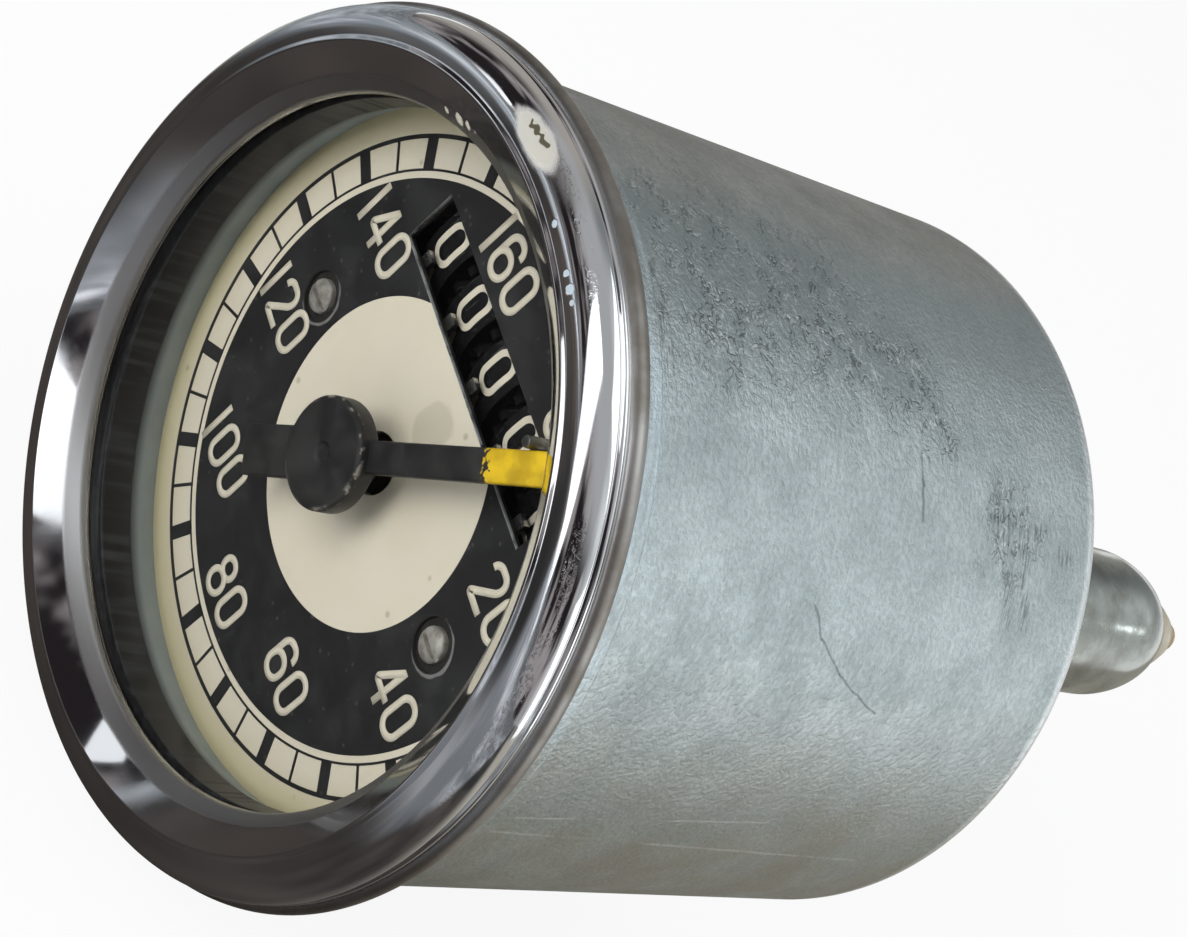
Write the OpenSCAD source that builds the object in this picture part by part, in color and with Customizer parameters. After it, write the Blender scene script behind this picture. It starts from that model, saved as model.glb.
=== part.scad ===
// Eddy-current speedometer with a five-wheel distance counter, in an 80 mm case.
// The origin lies on the dial axis in the plane of the panel seat, +Y runs to the
// back of the instrument and +Z is up on the dial. All sizes are in millimetres.

/* [Case] */
// Outer radius of the case barrel
case_r = 40; // [40:0.1:44]
// Wall of the case barrel
case_wall = 1; // [0.8:0.05:1.1]
// Depth of the case behind the panel seat
case_depth = 73; // [73:0.5:80]
// Thickness of the case back
back_t = 1.2; // [1:0.1:1.6]
// Outer corner radius between the barrel and the back
back_corner = 2.5; // [2:0.25:4]
// Height of the raised band behind the bezel
band_h = 0.5; // [0.45:0.05:0.6]
// Length of the raised band behind the panel seat
band_len = 3.6; // [2:0.1:6]
// Width of the case's front flange
flange_w = 1.5; // [1.2:0.05:1.55]
// Thickness of the case's front flange
flange_t = 1; // [0.8:0.05:1.2]

/* [Bezel] */
// Thickness of the bezel's rear wall behind the case flange
bezel_tuck = 0.9; // [0.7:0.05:1.1]
// Radial distance from the case barrel in to the bezel's lip
lip_inset = 6.1; // [5.8:0.1:6.4]
// Width of the lip's seat on the glass
lip_seat = 1.3; // [1:0.1:1.5]
// Thickness of the lip in front of the glass
lip_t = 0.9; // [0.7:0.05:1.1]
// Radial distance from the case barrel in to the bezel's ridge
ridge_inset = 2; // [1.8:0.1:2.2]
// Height of the ridge in front of the panel seat
ridge_h = 6.3; // [6:0.1:6.8]
// Thickness of the bezel's metal
bezel_t = 0.9; // [0.8:0.05:1]
// Radius of the rear bead
bead_r = 1.3; // [1.2:0.05:1.35]
// Radial distance from the case barrel out to the bead's centre
bead_out = 1.7; // [1.65:0.05:1.8]

/* [Glass and rings] */
// Thickness of the glass
lens_t = 1.6; // [1.2:0.1:1.8]
// Radial distance from the case barrel in to the glass edge
lens_inset = 2.4; // [2.2:0.1:2.6]
// Depth of the glass's rear face behind the case's front edge
lens_recess = 1.4; // [1.3:0.05:1.5]
// Thickness of the lens gasket
gasket_t = 0.9; // [0.8:0.05:0.9]
// Length of the black shade ring
shade_len = 3.8; // [3:0.1:5]
// Wall of the shade ring
shade_wall = 1; // [0.8:0.1:1.2]
// Thickness of the shade ring's flange
shade_flange_t = 0.8; // [0.6:0.1:1]
// Length of the translucent light ring
light_len = 3.8; // [3:0.1:5]

/* [Dial] */
// Thickness of the dial plate
dial_t = 0.8; // [0.6:0.1:1]
// Radius of the hole round the needle's boss
dial_hole_r = 3.1; // [2.9:0.1:3.6]
// Width of the counter window
window_w = 36; // [34:0.5:37]
// Height of the counter window
window_h = 6.7; // [6:0.1:7]
// Distance from the dial centre to each dial screw
dial_screw_x = 20.3; // [19.5:0.1:21]
// Radius of a dial screw's head
dial_screw_head_r = 2.15; // [1.9:0.05:2.3]
// Radius of a dial screw's shank
dial_screw_r = 1.1; // [0.9:0.1:1.3]
// Radius of the stop pin's circle
stop_pin_at = 26.6; // [25.5:0.1:27.5]
// Radius of the stop pin
stop_pin_r = 0.6; // [0.5:0.05:0.65]
// Clock angle of the scale's zero, where the needle rests
zero_angle = 36; // [34:0.5:40]

/* [Needle] */
// Radius of the needle's hub disc
hub_r = 5.6; // [5:0.1:6.2]
// Thickness of the needle's hub disc
hub_t = 2.4; // [2:0.1:2.5]
// Distance from the dial's face to the hub's rear face
hub_lift = 4.3; // [4.2:0.05:4.5]
// Width of the needle's arm
arm_w = 3.2; // [2.6:0.1:3.2]
// Thickness of the arm and tail
arm_t = 1.2; // [1:0.1:1.4]
// Reach of the needle's tip from the axis
needle_reach = 30.5; // [29.5:0.1:31.5]
// Width of the needle's tail
tail_w = 5.2; // [4.5:0.1:5.6]
// Reach of the needle's tail from the axis
tail_reach = 13.5; // [11:0.1:15]
// Radius of the needle's boss
boss_r = 2.4; // [2:0.1:2.6]
// Radius of the needle arbor
arbor_r = 0.8; // [0.75:0.05:0.9]

/* [Movement] */
// Length of the dial posts between the dial and the upper plate
dial_post_len = 23.1; // [23.1:0.1:26]
// Radius of a dial post
dial_post_r = 3; // [2.6:0.1:3.4]
// Width of the movement plates' rim outside the circle of posts
plate_rim = 4; // [3.5:0.1:5]
// Thickness of the upper plate
upper_plate_t = 2; // [1.8:0.1:2.4]
// Radius of a plate post
plate_post_r = 3.5; // [3:0.1:4]
// Thickness of the lower plate
lower_plate_t = 2.5; // [2:0.1:2.8]
// Radius of a base post
base_post_r = 4; // [3.4:0.1:4.5]
// Length of the base posts between the lower plate and the case back
base_post_len = 11; // [11:0.1:13]
// Radius of the circle of posts
post_circle_r = 30; // [29:0.1:31]
// Radius of the post spigots and plate screws
spigot_r = 1.5; // [1.3:0.1:1.7]
// Outer radius of the drag cup
drag_cup_r = 14; // [13.4:0.1:14.4]
// Wall of the drag cup
drag_cup_wall = 0.6; // [0.5:0.1:0.8]
// Radial air gap on each side of the drag cup's wall
air_gap = 1; // [0.8:0.1:1.2]
// Depth of the drag cup
drag_cup_depth = 10.5; // [9:0.1:11]
// Length of the magnet
magnet_len = 10; // [9:0.1:11]
// Wall of the soft-iron field cup
field_cup_wall = 1.4; // [1:0.1:2]
// Outer radius of the hairspring
hairspring_r = 7; // [6:0.1:7.5]
// Number of turns of the hairspring
hairspring_turns = 4; // [3:1:5]
// Thickness of the hairspring's strip
hairspring_t = 0.3; // [0.2:0.05:0.35]
// Height of the hairspring's strip
hairspring_h = 1.2; // [0.8:0.1:1.4]

/* [Drive] */
// Radius of the drive spindle
spindle_r = 2.5; // [2.3:0.05:2.7]
// Width of the square socket for the drive cable
socket_w = 2.7; // [2.5:0.05:2.9]
// Depth of the square socket
socket_depth = 6; // [5:0.5:7]
// Thread radius of the drive neck
neck_r = 9; // [8.5:0.1:9.1]
// Radius of the neck where it passes through the case back and its nut
neck_seat_r = 9.6; // [9.2:0.1:10.4]
// Length of the drive neck behind the case back
neck_len = 18; // [16:0.5:22]
// Radius of the neck's flange inside the case
neck_flange_r = 14; // [13:0.5:15]
// Thickness of the neck's flange
neck_flange_t = 2; // [1.6:0.1:2.2]
// Radius of the recess for the cable's ferrule
ferrule_r = 4.5; // [4.3:0.1:5]
// Depth of the recess for the cable's ferrule
ferrule_depth = 11; // [9:0.5:12]
// Width across the flats of the neck nut
neck_nut_af = 24; // [23:0.5:27]
// Thickness of the neck nut
neck_nut_t = 5; // [4:0.5:6]

/* [Gear train] */
// Module of the worm gears
worm_m = 0.5; // [0.5:0.01:0.5]
// Pitch radius of the worms
worm_r = 2.2; // [2.15:0.05:2.25]
// Teeth of the wheel on the cross shaft
cross_teeth = 14; // [14:1:14]
// Teeth of the wheel on the layshaft
lay_teeth = 50; // [50:1:50]
// Teeth of the wheel that turns the units number wheel
units_teeth = 20; // [20:1:20]
// Face width of the wheels
wheel_face = 1.6; // [1.2:0.1:1.8]
// Radius of the cross shaft and the layshaft
shaft_r = 1; // [0.9:0.05:1.2]
// Distance from the dial centre to the layshaft
lay_x = 22; // [21.9:0.05:22.1]

/* [Counter] */
// Number of number wheels
wheel_count = 5; // [5:1:5]
// Distance from one number wheel to the next
wheel_pitch = 7.6; // [7.5:0.05:7.65]
// Radius of a number wheel's rim
drum_r = 10; // [9.8:0.05:10.1]
// Width of a number wheel's rim
drum_w = 5.2; // [5:0.05:5.2]
// Depth of the number wheels behind the dial's face
drum_recess = 2; // [1.9:0.1:2.4]
// Width of each row of carry teeth
carry_w = 1; // [0.9:0.05:1]
// Radius of the number wheels' shaft
number_shaft_r = 1.2; // [1.1:0.05:1.4]
// Radius of the carry pinions' shaft
pinion_shaft_r = 0.8; // [0.7:0.05:0.9]
// Thickness of the counter's side brackets
bracket_t = 1.2; // [1:0.1:1.3]

/* [Lamp holder] */
// Radial distance from the case barrel in to the lamp's axis
lamp_inset = 10; // [10:0.1:10.5]
// Clock angle of the lamp
lamp_angle = 43.8; // [42.5:0.1:44.5]
// Radius of the lamp holder's neck through the case back
lamp_neck_r = 6; // [5.8:0.1:6.4]
// Radius of the lamp holder's shell
lamp_shell_r = 8.2; // [7.6:0.1:8.4]
// Length of the lamp holder's shell behind the case back
lamp_shell_len = 25.4; // [23:0.1:28]
// Length of the lamp holder's tapered end
lamp_taper = 8; // [7:0.1:9]
// Length of the rounding on each side of the taper's shoulder
lamp_round = 4; // [3:0.1:4.5]
// Radius of the bulb's cap
bulb_cap_r = 5; // [4.6:0.1:5.2]
// Radius of the insulator
insulator_r = 4.5; // [4.2:0.05:4.6]
// Length of the insulator
insulator_len = 11.2; // [10.6:0.1:11.8]
// Length of the insulator outside the shell
insulator_proud = 3.5; // [3:0.1:4]
// Radius of the contact pin
contact_r = 2; // [1.6:0.1:2.2]
// Length of the contact's pointed head
contact_head_len = 2.3; // [2:0.1:2.8]
// Length of the bulb's glass in front of the lamp holder's neck
bulb_proud = 0.8; // [0.4:0.1:1]

/* [Fasteners] */
// Radius of the mounting studs
stud_r = 3; // [2.5:0.1:3.2]
// Radius of a stud where it passes through the case back and its nut
stud_seat_r = 3.4; // [3.3:0.1:3.8]
// Length of the mounting studs behind the case back
stud_len = 17; // [14:0.5:20]
// Distance from the dial axis to each mounting stud
stud_x = 26; // [25.5:0.1:27]
// Width across the flats of the stud nuts
stud_nut_af = 10; // [9:0.5:11]
// Thickness of the stud nuts
stud_nut_t = 3; // [2.5:0.1:4]
// Radius of a screw's head
screw_head_r = 2.8; // [2.5:0.1:3]
// Height of a screw's head
screw_head_h = 1.5; // [1.2:0.1:1.6]
// Reach of a screw's shank into its post
screw_reach = 6; // [5:0.5:7]

/* [Clearances] */
// Radial clearance of a turning shaft
run_gap = 0.05; // [0.03:0.01:0.08]
// Radial clearance of a fixed fit
fit_gap = 0.02; // [0.01:0.01:0.04]
// Clearance between the rings and the case wall
ring_gap = 0.4; // [0.3:0.05:0.5]

/* [Hidden] */
$fn = 96;

// Radii of the case and its rings
case_in = case_r - case_wall;
ring_r = case_in - ring_gap;
band_r = case_r + band_h;
flange_r = case_r + flange_w;
lip_r = case_r - lip_inset;
ridge_r = case_r - ridge_inset;
lens_r = case_r - lens_inset;
bead_at = case_r + bead_out;
barrel_gap = 0.15;
tuck_r = band_r + barrel_gap;
pocket_r = flange_r + 0.1;
gasket_in = lens_r + 0.3;
gasket_out = flange_r - 0.6;
shade_in = lip_r + 0.1;
light_front_in = shade_in + 0.1;
light_rear_in = light_front_in + 1.3;

// Depths along the axis, from the glass back to the case back
flange_front = -bezel_tuck - flange_t;
lens_rear = flange_front + lens_recess;
lens_front = lens_rear - lens_t;
lip_front = lens_front - lip_t;
gasket_front = flange_front - gasket_t;
shade_rear = lens_rear + shade_len;
dial_front = shade_rear + light_len;
dial_rear = dial_front + dial_t;
upper_front = dial_rear + dial_post_len;
upper_rear = upper_front + upper_plate_t;
back_in = case_depth - back_t;
lower_rear = back_in - base_post_len;
lower_front = lower_rear - lower_plate_t;
spigot_len = lower_plate_t + 5;
plate_r = post_circle_r + plate_rim;

// Needle and drag cup along the axis
hub_rear = dial_front - hub_lift;
hub_front = hub_rear - hub_t;
arm_front = hub_rear - arm_t - 0.1;
boss_rear = dial_front - 1.1;
arbor_front = hub_front + 0.8;
cup_front = upper_rear + 3;
cup_hub_len = 1.4;
cup_hub_r = 2;
magnet_front = cup_front + 2;
magnet_r = drag_cup_r - drag_cup_wall - air_gap;
field_in = drag_cup_r + air_gap + 0.6;
field_out = field_in + field_cup_wall;
field_front = cup_front + 0.5;
pivot_r = arbor_r - 0.05;
pivot_len = 2.5;
pivot_start = magnet_front - 1;
hairspring_y = upper_front - 2.4;
collet_r = 2;
collet_len = 1.6;

// Worm gears: the shafts are one worm and one wheel apart
worm_pitch = PI * worm_m;
worm_mean = worm_r - 0.1;
worm_wave = 0.5;
worm_top = worm_mean + worm_wave;
worm_len = 6.2;
worm_sides = 18;
worm_bite = 0.1;
tooth_tip_half = 0.12;
tooth_root_half = 0.45;
tooth_above = 0.25;
tooth_below = 0.55;
cross_r = worm_m * cross_teeth / 2;
lay_r = worm_m * lay_teeth / 2;
units_r = worm_m * units_teeth / 2;
cross_z = -(worm_r + cross_r);
lay_z = cross_z + worm_r + lay_r;
number_z = lay_z + worm_r + units_r;
cross_lift = 4.5;
cross_y = lower_rear + cross_lift;
number_y = dial_front + drum_recess + drum_r;

// Counter: number wheels, carry teeth and pinions
function wheel_x(n) = (wheel_count + 1 - 2 * n) / 2 * wheel_pitch;
carry_teeth = 20;
carry_tip = drum_r - 1.2;
carry_root = carry_tip - 1.5;
pinion_teeth = 8;
pinion_tip = 3.85;
pinion_root = 2.5;
pinion_reach = carry_tip + 2.7;
pinion_angle = -65;
pinion_y = number_y + pinion_reach * cos(pinion_angle);
pinion_z = number_z + pinion_reach * sin(pinion_angle);
pinion_gap = 0.05;
counter_left = wheel_x(wheel_count) - wheel_pitch / 2 - 1.4;
counter_right = lay_x + worm_top + 0.4;
comb_t = 0.6;
comb_front = dial_rear + 0.3;
comb_rear = comb_front + comb_t;
lug_front = comb_rear + 2.2;
lug_rear = lug_front + 1.5;
window_z = number_z + 0.3;

// Cross shaft brackets
cross_bracket_t = 2;
cross_bracket_over = 3;
cross_left = -6;
cross_right = lay_x + 5;

// Drive spindle and neck
spindle_front = magnet_front;
worm_front = cross_y - worm_len / 2;
worm_rear = cross_y + worm_len / 2;
neck_rear = case_depth + neck_len;
neck_step = case_depth + neck_nut_t;
ferrule_front = neck_rear - ferrule_depth;
neck_bush_r = ferrule_r - 0.5;
neck_flange_front = back_in - neck_flange_t;
bush_wall = 2;
spindle_bush_r = spindle_r + bush_wall;
arbor_bush_r = arbor_r + 1.7;

// Lamp holder along its own axis
lamp_at = case_r - lamp_inset;
lamp_pos = [lamp_at * sin(lamp_angle), lamp_at * cos(lamp_angle)];
lamp_rear = case_depth + lamp_shell_len;
lamp_inside = back_in - 4;
insulator_rear = lamp_rear + insulator_proud;
insulator_front = insulator_rear - insulator_len;
contact_inside = 1;
bulb_cap_rear = insulator_front - contact_inside;
bulb_cap_len = 17.5;
bulb_neck = bulb_cap_rear - bulb_cap_len;
bulb_tip = lamp_inside - bulb_proud;
bulb_r = bulb_cap_r - 0.5;

post_angles = [0, 120, 240];
stop_pin_angle = zero_angle - 5;
dial_screw_seat_r = dial_screw_head_r + 0.45;
dial_screw_seat = 0.4;
dial_screw_head_h = 0.9;
window_cut_r = lamp_shell_r + 0.6;
stud_head_r = stud_seat_r + 1.6;
stud_head_t = 1;
cap_colour = [0.55, 0.56, 0.57];

// Point on a circle at a clock angle, as [x, z]
function clock(radius, angle) = [radius * sin(angle), radius * cos(angle)];

// Points of an arc round a centre, from one angle to another
function arc(at, radius, from, to, steps) =
  [for (i = [0 : steps]) let (a = from + (to - from) * i / steps)
    [at[0] + radius * cos(a), at[1] + radius * sin(a)]];

// Points of a quadratic curve between two points
function bend(a, b, c, steps) =
  [for (i = [1 : steps]) let (t = i / steps)
    a * (1 - t) * (1 - t) + b * 2 * t * (1 - t) + c * t * t];

// Flat shape in the dial plane, given depth from one y to another
module slab(from, to) {
  translate([0, to, 0]) rotate([90, 0, 0]) linear_extrude(to - from) children();
}

// Profile of [radius, depth] points, turned round the dial axis
module turned(profile) {
  rotate([-90, 0, 0]) rotate_extrude() polygon(profile);
}

// Round bar along the dial axis
module bar(at, radius, from, to) {
  slab(from, to) translate(at) circle(radius);
}

// Round bar along X
module cross_bar(from, to, y, z, radius) {
  translate([from, y, z]) rotate([0, 90, 0]) cylinder(r = radius, h = to - from);
}

// Flat outline of a wheel with straight-sided teeth, one tooth at angle 0
module teeth(count, tip, root, tip_half, root_half) {
  polygon([for (i = [0 : count - 1], side = [[-1, root, root_half], [-1, tip, tip_half],
                                             [1, tip, tip_half], [1, root, root_half]])
    let (a = 360 * i / count + side[0] * asin(side[2] / side[1]))
    [side[1] * cos(a), side[1] * sin(a)]]);
}

// Right-hand single-start worm along local Z, its groove turned to the wheel
module worm(groove_angle) {
  turns = worm_len / worm_pitch;
  translate([0, 0, -worm_len / 2])
    rotate(groove_angle + 180 - 180 * turns)
      linear_extrude(worm_len, twist = -360 * turns, slices = ceil(turns * 12), $fn = worm_sides)
        translate([worm_wave, 0]) circle(worm_mean, $fn = worm_sides);
}

// Worm wheel about local Z, centred on it, with a bore
module worm_wheel(count, pitch_r, bore, phase) {
  translate([0, 0, -wheel_face / 2]) linear_extrude(wheel_face) difference() {
    rotate(phase)
      teeth(count, pitch_r + tooth_above, pitch_r - tooth_below, tooth_tip_half, tooth_root_half);
    circle(bore);
  }
}

// Hexagon nut along the dial axis
module nut(at, across_flats, bore, from, to) {
  slab(from, to) translate(at) difference() {
    circle(across_flats / sqrt(3), $fn = 6);
    circle(bore);
  }
}

// Cheese-head screw along the dial axis with a slot in its head
module slotted_screw(at, head_r, shank_r, head_front, head_h, shank_end, facing) {
  head_end = head_front + facing * head_h;
  slot_end = head_front + facing * head_h * 0.45;
  difference() {
    union() {
      bar(at, head_r, min(head_front, head_end), max(head_front, head_end));
      bar(at, shank_r, min(head_end, shank_end), max(head_end, shank_end));
    }
    slab(min(head_front - facing, slot_end), max(head_front - facing, slot_end))
      translate(at) square([head_r * 3, head_r * 0.3], center = true);
  }
}

// Deep-drawn zinc-plated case with its front flange
module case() {
  corner_at = [case_r - back_corner, case_depth - back_corner];
  profile = concat(
    [[case_in, flange_front], [flange_r, flange_front], [flange_r, -bezel_tuck],
     [band_r, -bezel_tuck], [band_r, band_len], [case_r, band_len + 0.3]],
    arc(corner_at, back_corner, 0, 90, 6),
    [[0, case_depth], [0, back_in]],
    [for (i = [6 : -1 : 0]) let (a = 15 * i)
      [corner_at[0] + (back_corner - case_wall) * cos(a),
       corner_at[1] + (back_corner - back_t) * sin(a)]]);
  color([0.66, 0.69, 0.70]) difference() {
    turned(profile);
    bar([0, 0], neck_seat_r + run_gap, back_in - 1, case_depth + 1);
    bar(lamp_pos, lamp_neck_r + fit_gap, back_in - 1, case_depth + 1);
    for (a = post_angles) {
      bar(clock(post_circle_r, a), spigot_r + run_gap, back_in - 1, case_depth + 1);
    }
    for (side = [-1, 1]) {
      bar([side * stud_x, 0], stud_seat_r + run_gap, back_in - 1, case_depth + 1);
    }
  }
}

// Chromed bezel: lip, ridge, rounded outer face and rear bead
module bezel() {
  ridge_round = 0.8;
  bead_y = -bead_r - 0.1;
  outer_end = [case_r + 2.2, bead_y - 2];
  inner_end = outer_end - [bezel_t + 0.3, -0.1];
  lip_top = [lip_r, lip_front];
  ridge_in = [ridge_r - ridge_round, -ridge_h + 0.35];
  ridge_out = [ridge_r + ridge_round, -ridge_h + 0.2];
  outer_ctrl = [case_r + 1.6, -ridge_h + 0.4];
  seat_r = lip_r + lip_seat;
  profile = concat(
    [[lip_r, lens_front], lip_top, ridge_in],
    bend(ridge_in, [ridge_r, -ridge_h - 0.25], ridge_out, 5),
    bend(ridge_out, outer_ctrl, outer_end, 6),
    [[bead_at + 0.05, bead_y - bead_r - 0.15]],
    arc([bead_at, bead_y], bead_r, -80, 80, 10),
    [[bead_at - 0.1, 0], [tuck_r, 0], [tuck_r, -bezel_tuck], [pocket_r, -bezel_tuck],
     [pocket_r, bead_y - 0.8], inner_end],
    bend(inner_end, outer_ctrl - [bezel_t, -bezel_t], [ridge_r + 0.5, -ridge_h + bezel_t + 0.4], 5),
    [[ridge_r - 0.3, -ridge_h + bezel_t + 0.4], [seat_r, lens_front - 0.6],
     [seat_r, lens_front]]);
  color([0.82, 0.83, 0.84]) turned(profile);
}

// Flat glass behind the bezel's lip
module lens_glass() {
  color([0.85, 0.9, 0.92, 0.25]) bar([0, 0], lens_r, lens_front, lens_rear);
}

// Rubber ring between the case flange and the bezel
module lens_gasket() {
  color([0.1, 0.1, 0.1]) slab(gasket_front, flange_front) difference() {
    circle(gasket_out);
    circle(gasket_in);
  }
}

// Black ring that keeps stray light off the glass
module shade_ring() {
  color([0.1, 0.1, 0.11]) turned([
    [shade_in, lens_rear], [ring_r, lens_rear], [ring_r, lens_rear + shade_flange_t],
    [shade_in + shade_wall, lens_rear + shade_flange_t], [shade_in + shade_wall, shade_rear],
    [shade_in, shade_rear]]);
}

// Translucent ring that spreads the lamp's light over the dial
module light_ring() {
  color([0.55, 0.59, 0.61]) turned([
    [light_front_in, shade_rear], [ring_r, shade_rear], [ring_r, dial_front],
    [light_rear_in, dial_front]]);
}

// Dial plate with the counter window and seats for its screws
module dial() {
  color([0.8, 0.77, 0.69]) difference() {
    bar([0, 0], ring_r, dial_front, dial_rear);
    bar([0, 0], dial_hole_r, dial_front - 1, dial_rear + 1);
    slab(dial_front - 1, dial_rear + 1)
      translate([0, window_z]) square([window_w, window_h], center = true);
    bar(clock(stop_pin_at, stop_pin_angle), stop_pin_r + fit_gap, dial_front - 1, dial_rear + 1);
    for (side = [-1, 1]) {
      bar([side * dial_screw_x, 0], dial_screw_r + run_gap, dial_front - 1, dial_rear + 1);
      bar([side * dial_screw_x, 0], dial_screw_seat_r, dial_front - 1, dial_front + dial_screw_seat);
    }
  }
}

// Two slotted screws that hold the dial on its posts
module dial_screws() {
  seat = dial_front + dial_screw_seat;
  color([0.5, 0.5, 0.5]) for (side = [-1, 1]) {
    slotted_screw([side * dial_screw_x, 0], dial_screw_head_r, dial_screw_r,
      seat - dial_screw_head_h, dial_screw_head_h, dial_rear + screw_reach, 1);
  }
}

// Pin that the needle rests against at zero
module stop_pin() {
  color([0.4, 0.4, 0.4])
    bar(clock(stop_pin_at, stop_pin_angle), stop_pin_r, arm_front - 0.2, dial_rear);
}

// Needle with its hub disc, arm, tail and boss
module needle() {
  dimple_r = 1.1;
  taper = arm_w * 0.3;
  color([0.12, 0.12, 0.13]) difference() {
    union() {
      bar([0, 0], hub_r, hub_front, hub_rear);
      bar([0, 0], boss_r, hub_rear - 0.1, boss_rear);
      slab(arm_front, arm_front + arm_t) rotate(-zero_angle) {
        polygon([[-arm_w / 2, 0], [arm_w / 2, 0], [arm_w / 2, needle_reach - taper],
          [taper / 2, needle_reach], [-taper / 2, needle_reach], [-arm_w / 2, needle_reach - taper]]);
        translate([-tail_w / 2, -tail_reach]) square([tail_w, tail_reach]);
      }
    }
    bar([0, 0], arbor_r + fit_gap, arbor_front, boss_rear + 1);
    bar([0, 0], dimple_r, hub_front - 1, hub_front + 0.3);
  }
}

// Arbor from the needle to the drag cup, with its rear pivot
module arbor() {
  color([0.7, 0.7, 0.7]) {
    bar([0, 0], arbor_r, arbor_front, pivot_start);
    bar([0, 0], pivot_r, pivot_start, pivot_start + pivot_len);
  }
}

// Bush for the arbor in the upper plate
module arbor_bush() {
  color([0.72, 0.58, 0.3]) difference() {
    union() {
      bar([0, 0], arbor_bush_r, upper_front, upper_rear);
      bar([0, 0], arbor_bush_r + 1.5, upper_rear, upper_rear + 0.8);
    }
    bar([0, 0], arbor_r + run_gap, upper_front - 1, upper_rear + 2);
  }
}

// Flat spiral spring that turns the needle back to zero
module hairspring() {
  steps = hairspring_turns * 20;
  start_r = collet_r + fit_gap + hairspring_t / 2;
  grow = (hairspring_r - hairspring_t - start_r) / steps;
  inner = [for (i = [0 : steps]) clock(start_r + grow * i - hairspring_t / 2, 18 * i)];
  outer = [for (i = [steps : -1 : 0]) clock(start_r + grow * i + hairspring_t / 2, 18 * i)];
  color([0.75, 0.62, 0.35])
    slab(hairspring_y, hairspring_y + hairspring_h) polygon(concat(inner, outer));
}

// Collet that holds the hairspring's inner end on the arbor
module hairspring_collet() {
  middle = hairspring_y + hairspring_h / 2;
  color([0.72, 0.58, 0.3]) slab(middle - collet_len / 2, middle + collet_len / 2) difference() {
    circle(collet_r);
    circle(arbor_r + fit_gap);
  }
}

// Stud that holds the hairspring's outer end on the upper plate
module hairspring_stud() {
  stud_w = 2.4;
  stud_d = 1.6;
  color([0.72, 0.58, 0.3]) slab(hairspring_y - 0.4, upper_front)
    translate([-stud_w / 2, hairspring_r - hairspring_t / 2 + fit_gap]) square([stud_w, stud_d]);
}

// Aluminium drag cup on the arbor, over the magnet
module drag_cup() {
  bottom_t = 0.8;
  color([0.8, 0.81, 0.82]) turned([
    [arbor_r + fit_gap, cup_front - cup_hub_len], [cup_hub_r, cup_front - cup_hub_len],
    [cup_hub_r, cup_front], [drag_cup_r, cup_front], [drag_cup_r, cup_front + drag_cup_depth],
    [drag_cup_r - drag_cup_wall, cup_front + drag_cup_depth],
    [drag_cup_r - drag_cup_wall, cup_front + bottom_t], [arbor_r + fit_gap, cup_front + bottom_t]]);
}

// Permanent magnet on the drive spindle
module magnet() {
  color([0.3, 0.3, 0.32]) slab(magnet_front, magnet_front + magnet_len) difference() {
    circle(magnet_r);
    circle(spindle_r + fit_gap);
  }
}

// Soft-iron cup round the drag cup
module field_cup() {
  base_t = 2;
  color([0.6, 0.6, 0.6]) turned([
    [spindle_bush_r + 2.5, lower_front - base_t], [field_in, lower_front - base_t],
    [field_in, field_front], [field_out, field_front], [field_out, lower_front],
    [spindle_bush_r + 2.5, lower_front]]);
}

// Flat outline of a movement plate with its post holes and light notch
module plate_outline(centre_hole) {
  difference() {
    circle(plate_r);
    circle(centre_hole);
    translate(lamp_pos) circle(window_cut_r);
    translate([lay_x, lay_z]) circle(shaft_r + run_gap);
    for (a = post_angles) translate(clock(post_circle_r, a)) circle(spigot_r + fit_gap);
  }
}

// Plate that carries the dial posts and the counter
module upper_plate() {
  color([0.74, 0.6, 0.33]) slab(upper_front, upper_rear) difference() {
    plate_outline(arbor_bush_r + fit_gap);
    for (side = [-1, 1]) translate([side * dial_screw_x, 0]) circle(spigot_r + fit_gap);
  }
}

// Plate that carries the spindle and the reduction gears
module lower_plate() {
  color([0.74, 0.6, 0.33])
    slab(lower_front, lower_rear) plate_outline(spindle_bush_r + fit_gap);
}

// Two posts between the dial and the upper plate
module dial_posts() {
  color([0.72, 0.58, 0.3]) for (side = [-1, 1]) {
    difference() {
      union() {
        bar([side * dial_screw_x, 0], dial_post_r, dial_rear, upper_front);
        bar([side * dial_screw_x, 0], spigot_r, upper_front, upper_rear);
      }
      bar([side * dial_screw_x, 0], dial_screw_r + fit_gap, dial_rear - 1, dial_rear + screw_reach + 1);
    }
  }
}

// Three posts between the plates, bored at both ends
module plate_posts() {
  bore_r = spigot_r + fit_gap;
  color([0.6, 0.6, 0.6]) for (a = post_angles) {
    difference() {
      bar(clock(post_circle_r, a), plate_post_r, upper_rear, lower_front);
      bar(clock(post_circle_r, a), bore_r, upper_rear - 1, upper_rear + screw_reach + 1);
      bar(clock(post_circle_r, a), bore_r, lower_rear - spigot_len - 0.5, lower_front + 1);
    }
  }
}

// Three screws through the upper plate into the plate posts
module plate_screws() {
  color([0.5, 0.5, 0.5]) for (a = post_angles) {
    slotted_screw(clock(post_circle_r, a), screw_head_r, spigot_r,
      upper_front - screw_head_h, screw_head_h, upper_rear + screw_reach, 1);
  }
}

// Three posts between the lower plate and the case back
module base_posts() {
  color([0.6, 0.6, 0.6]) for (a = post_angles) {
    difference() {
      union() {
        bar(clock(post_circle_r, a), base_post_r, lower_rear, back_in);
        bar(clock(post_circle_r, a), spigot_r, lower_rear - spigot_len, lower_rear);
      }
      bar(clock(post_circle_r, a), spigot_r + fit_gap, back_in - screw_reach - 1, back_in + 1);
    }
  }
}

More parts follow.
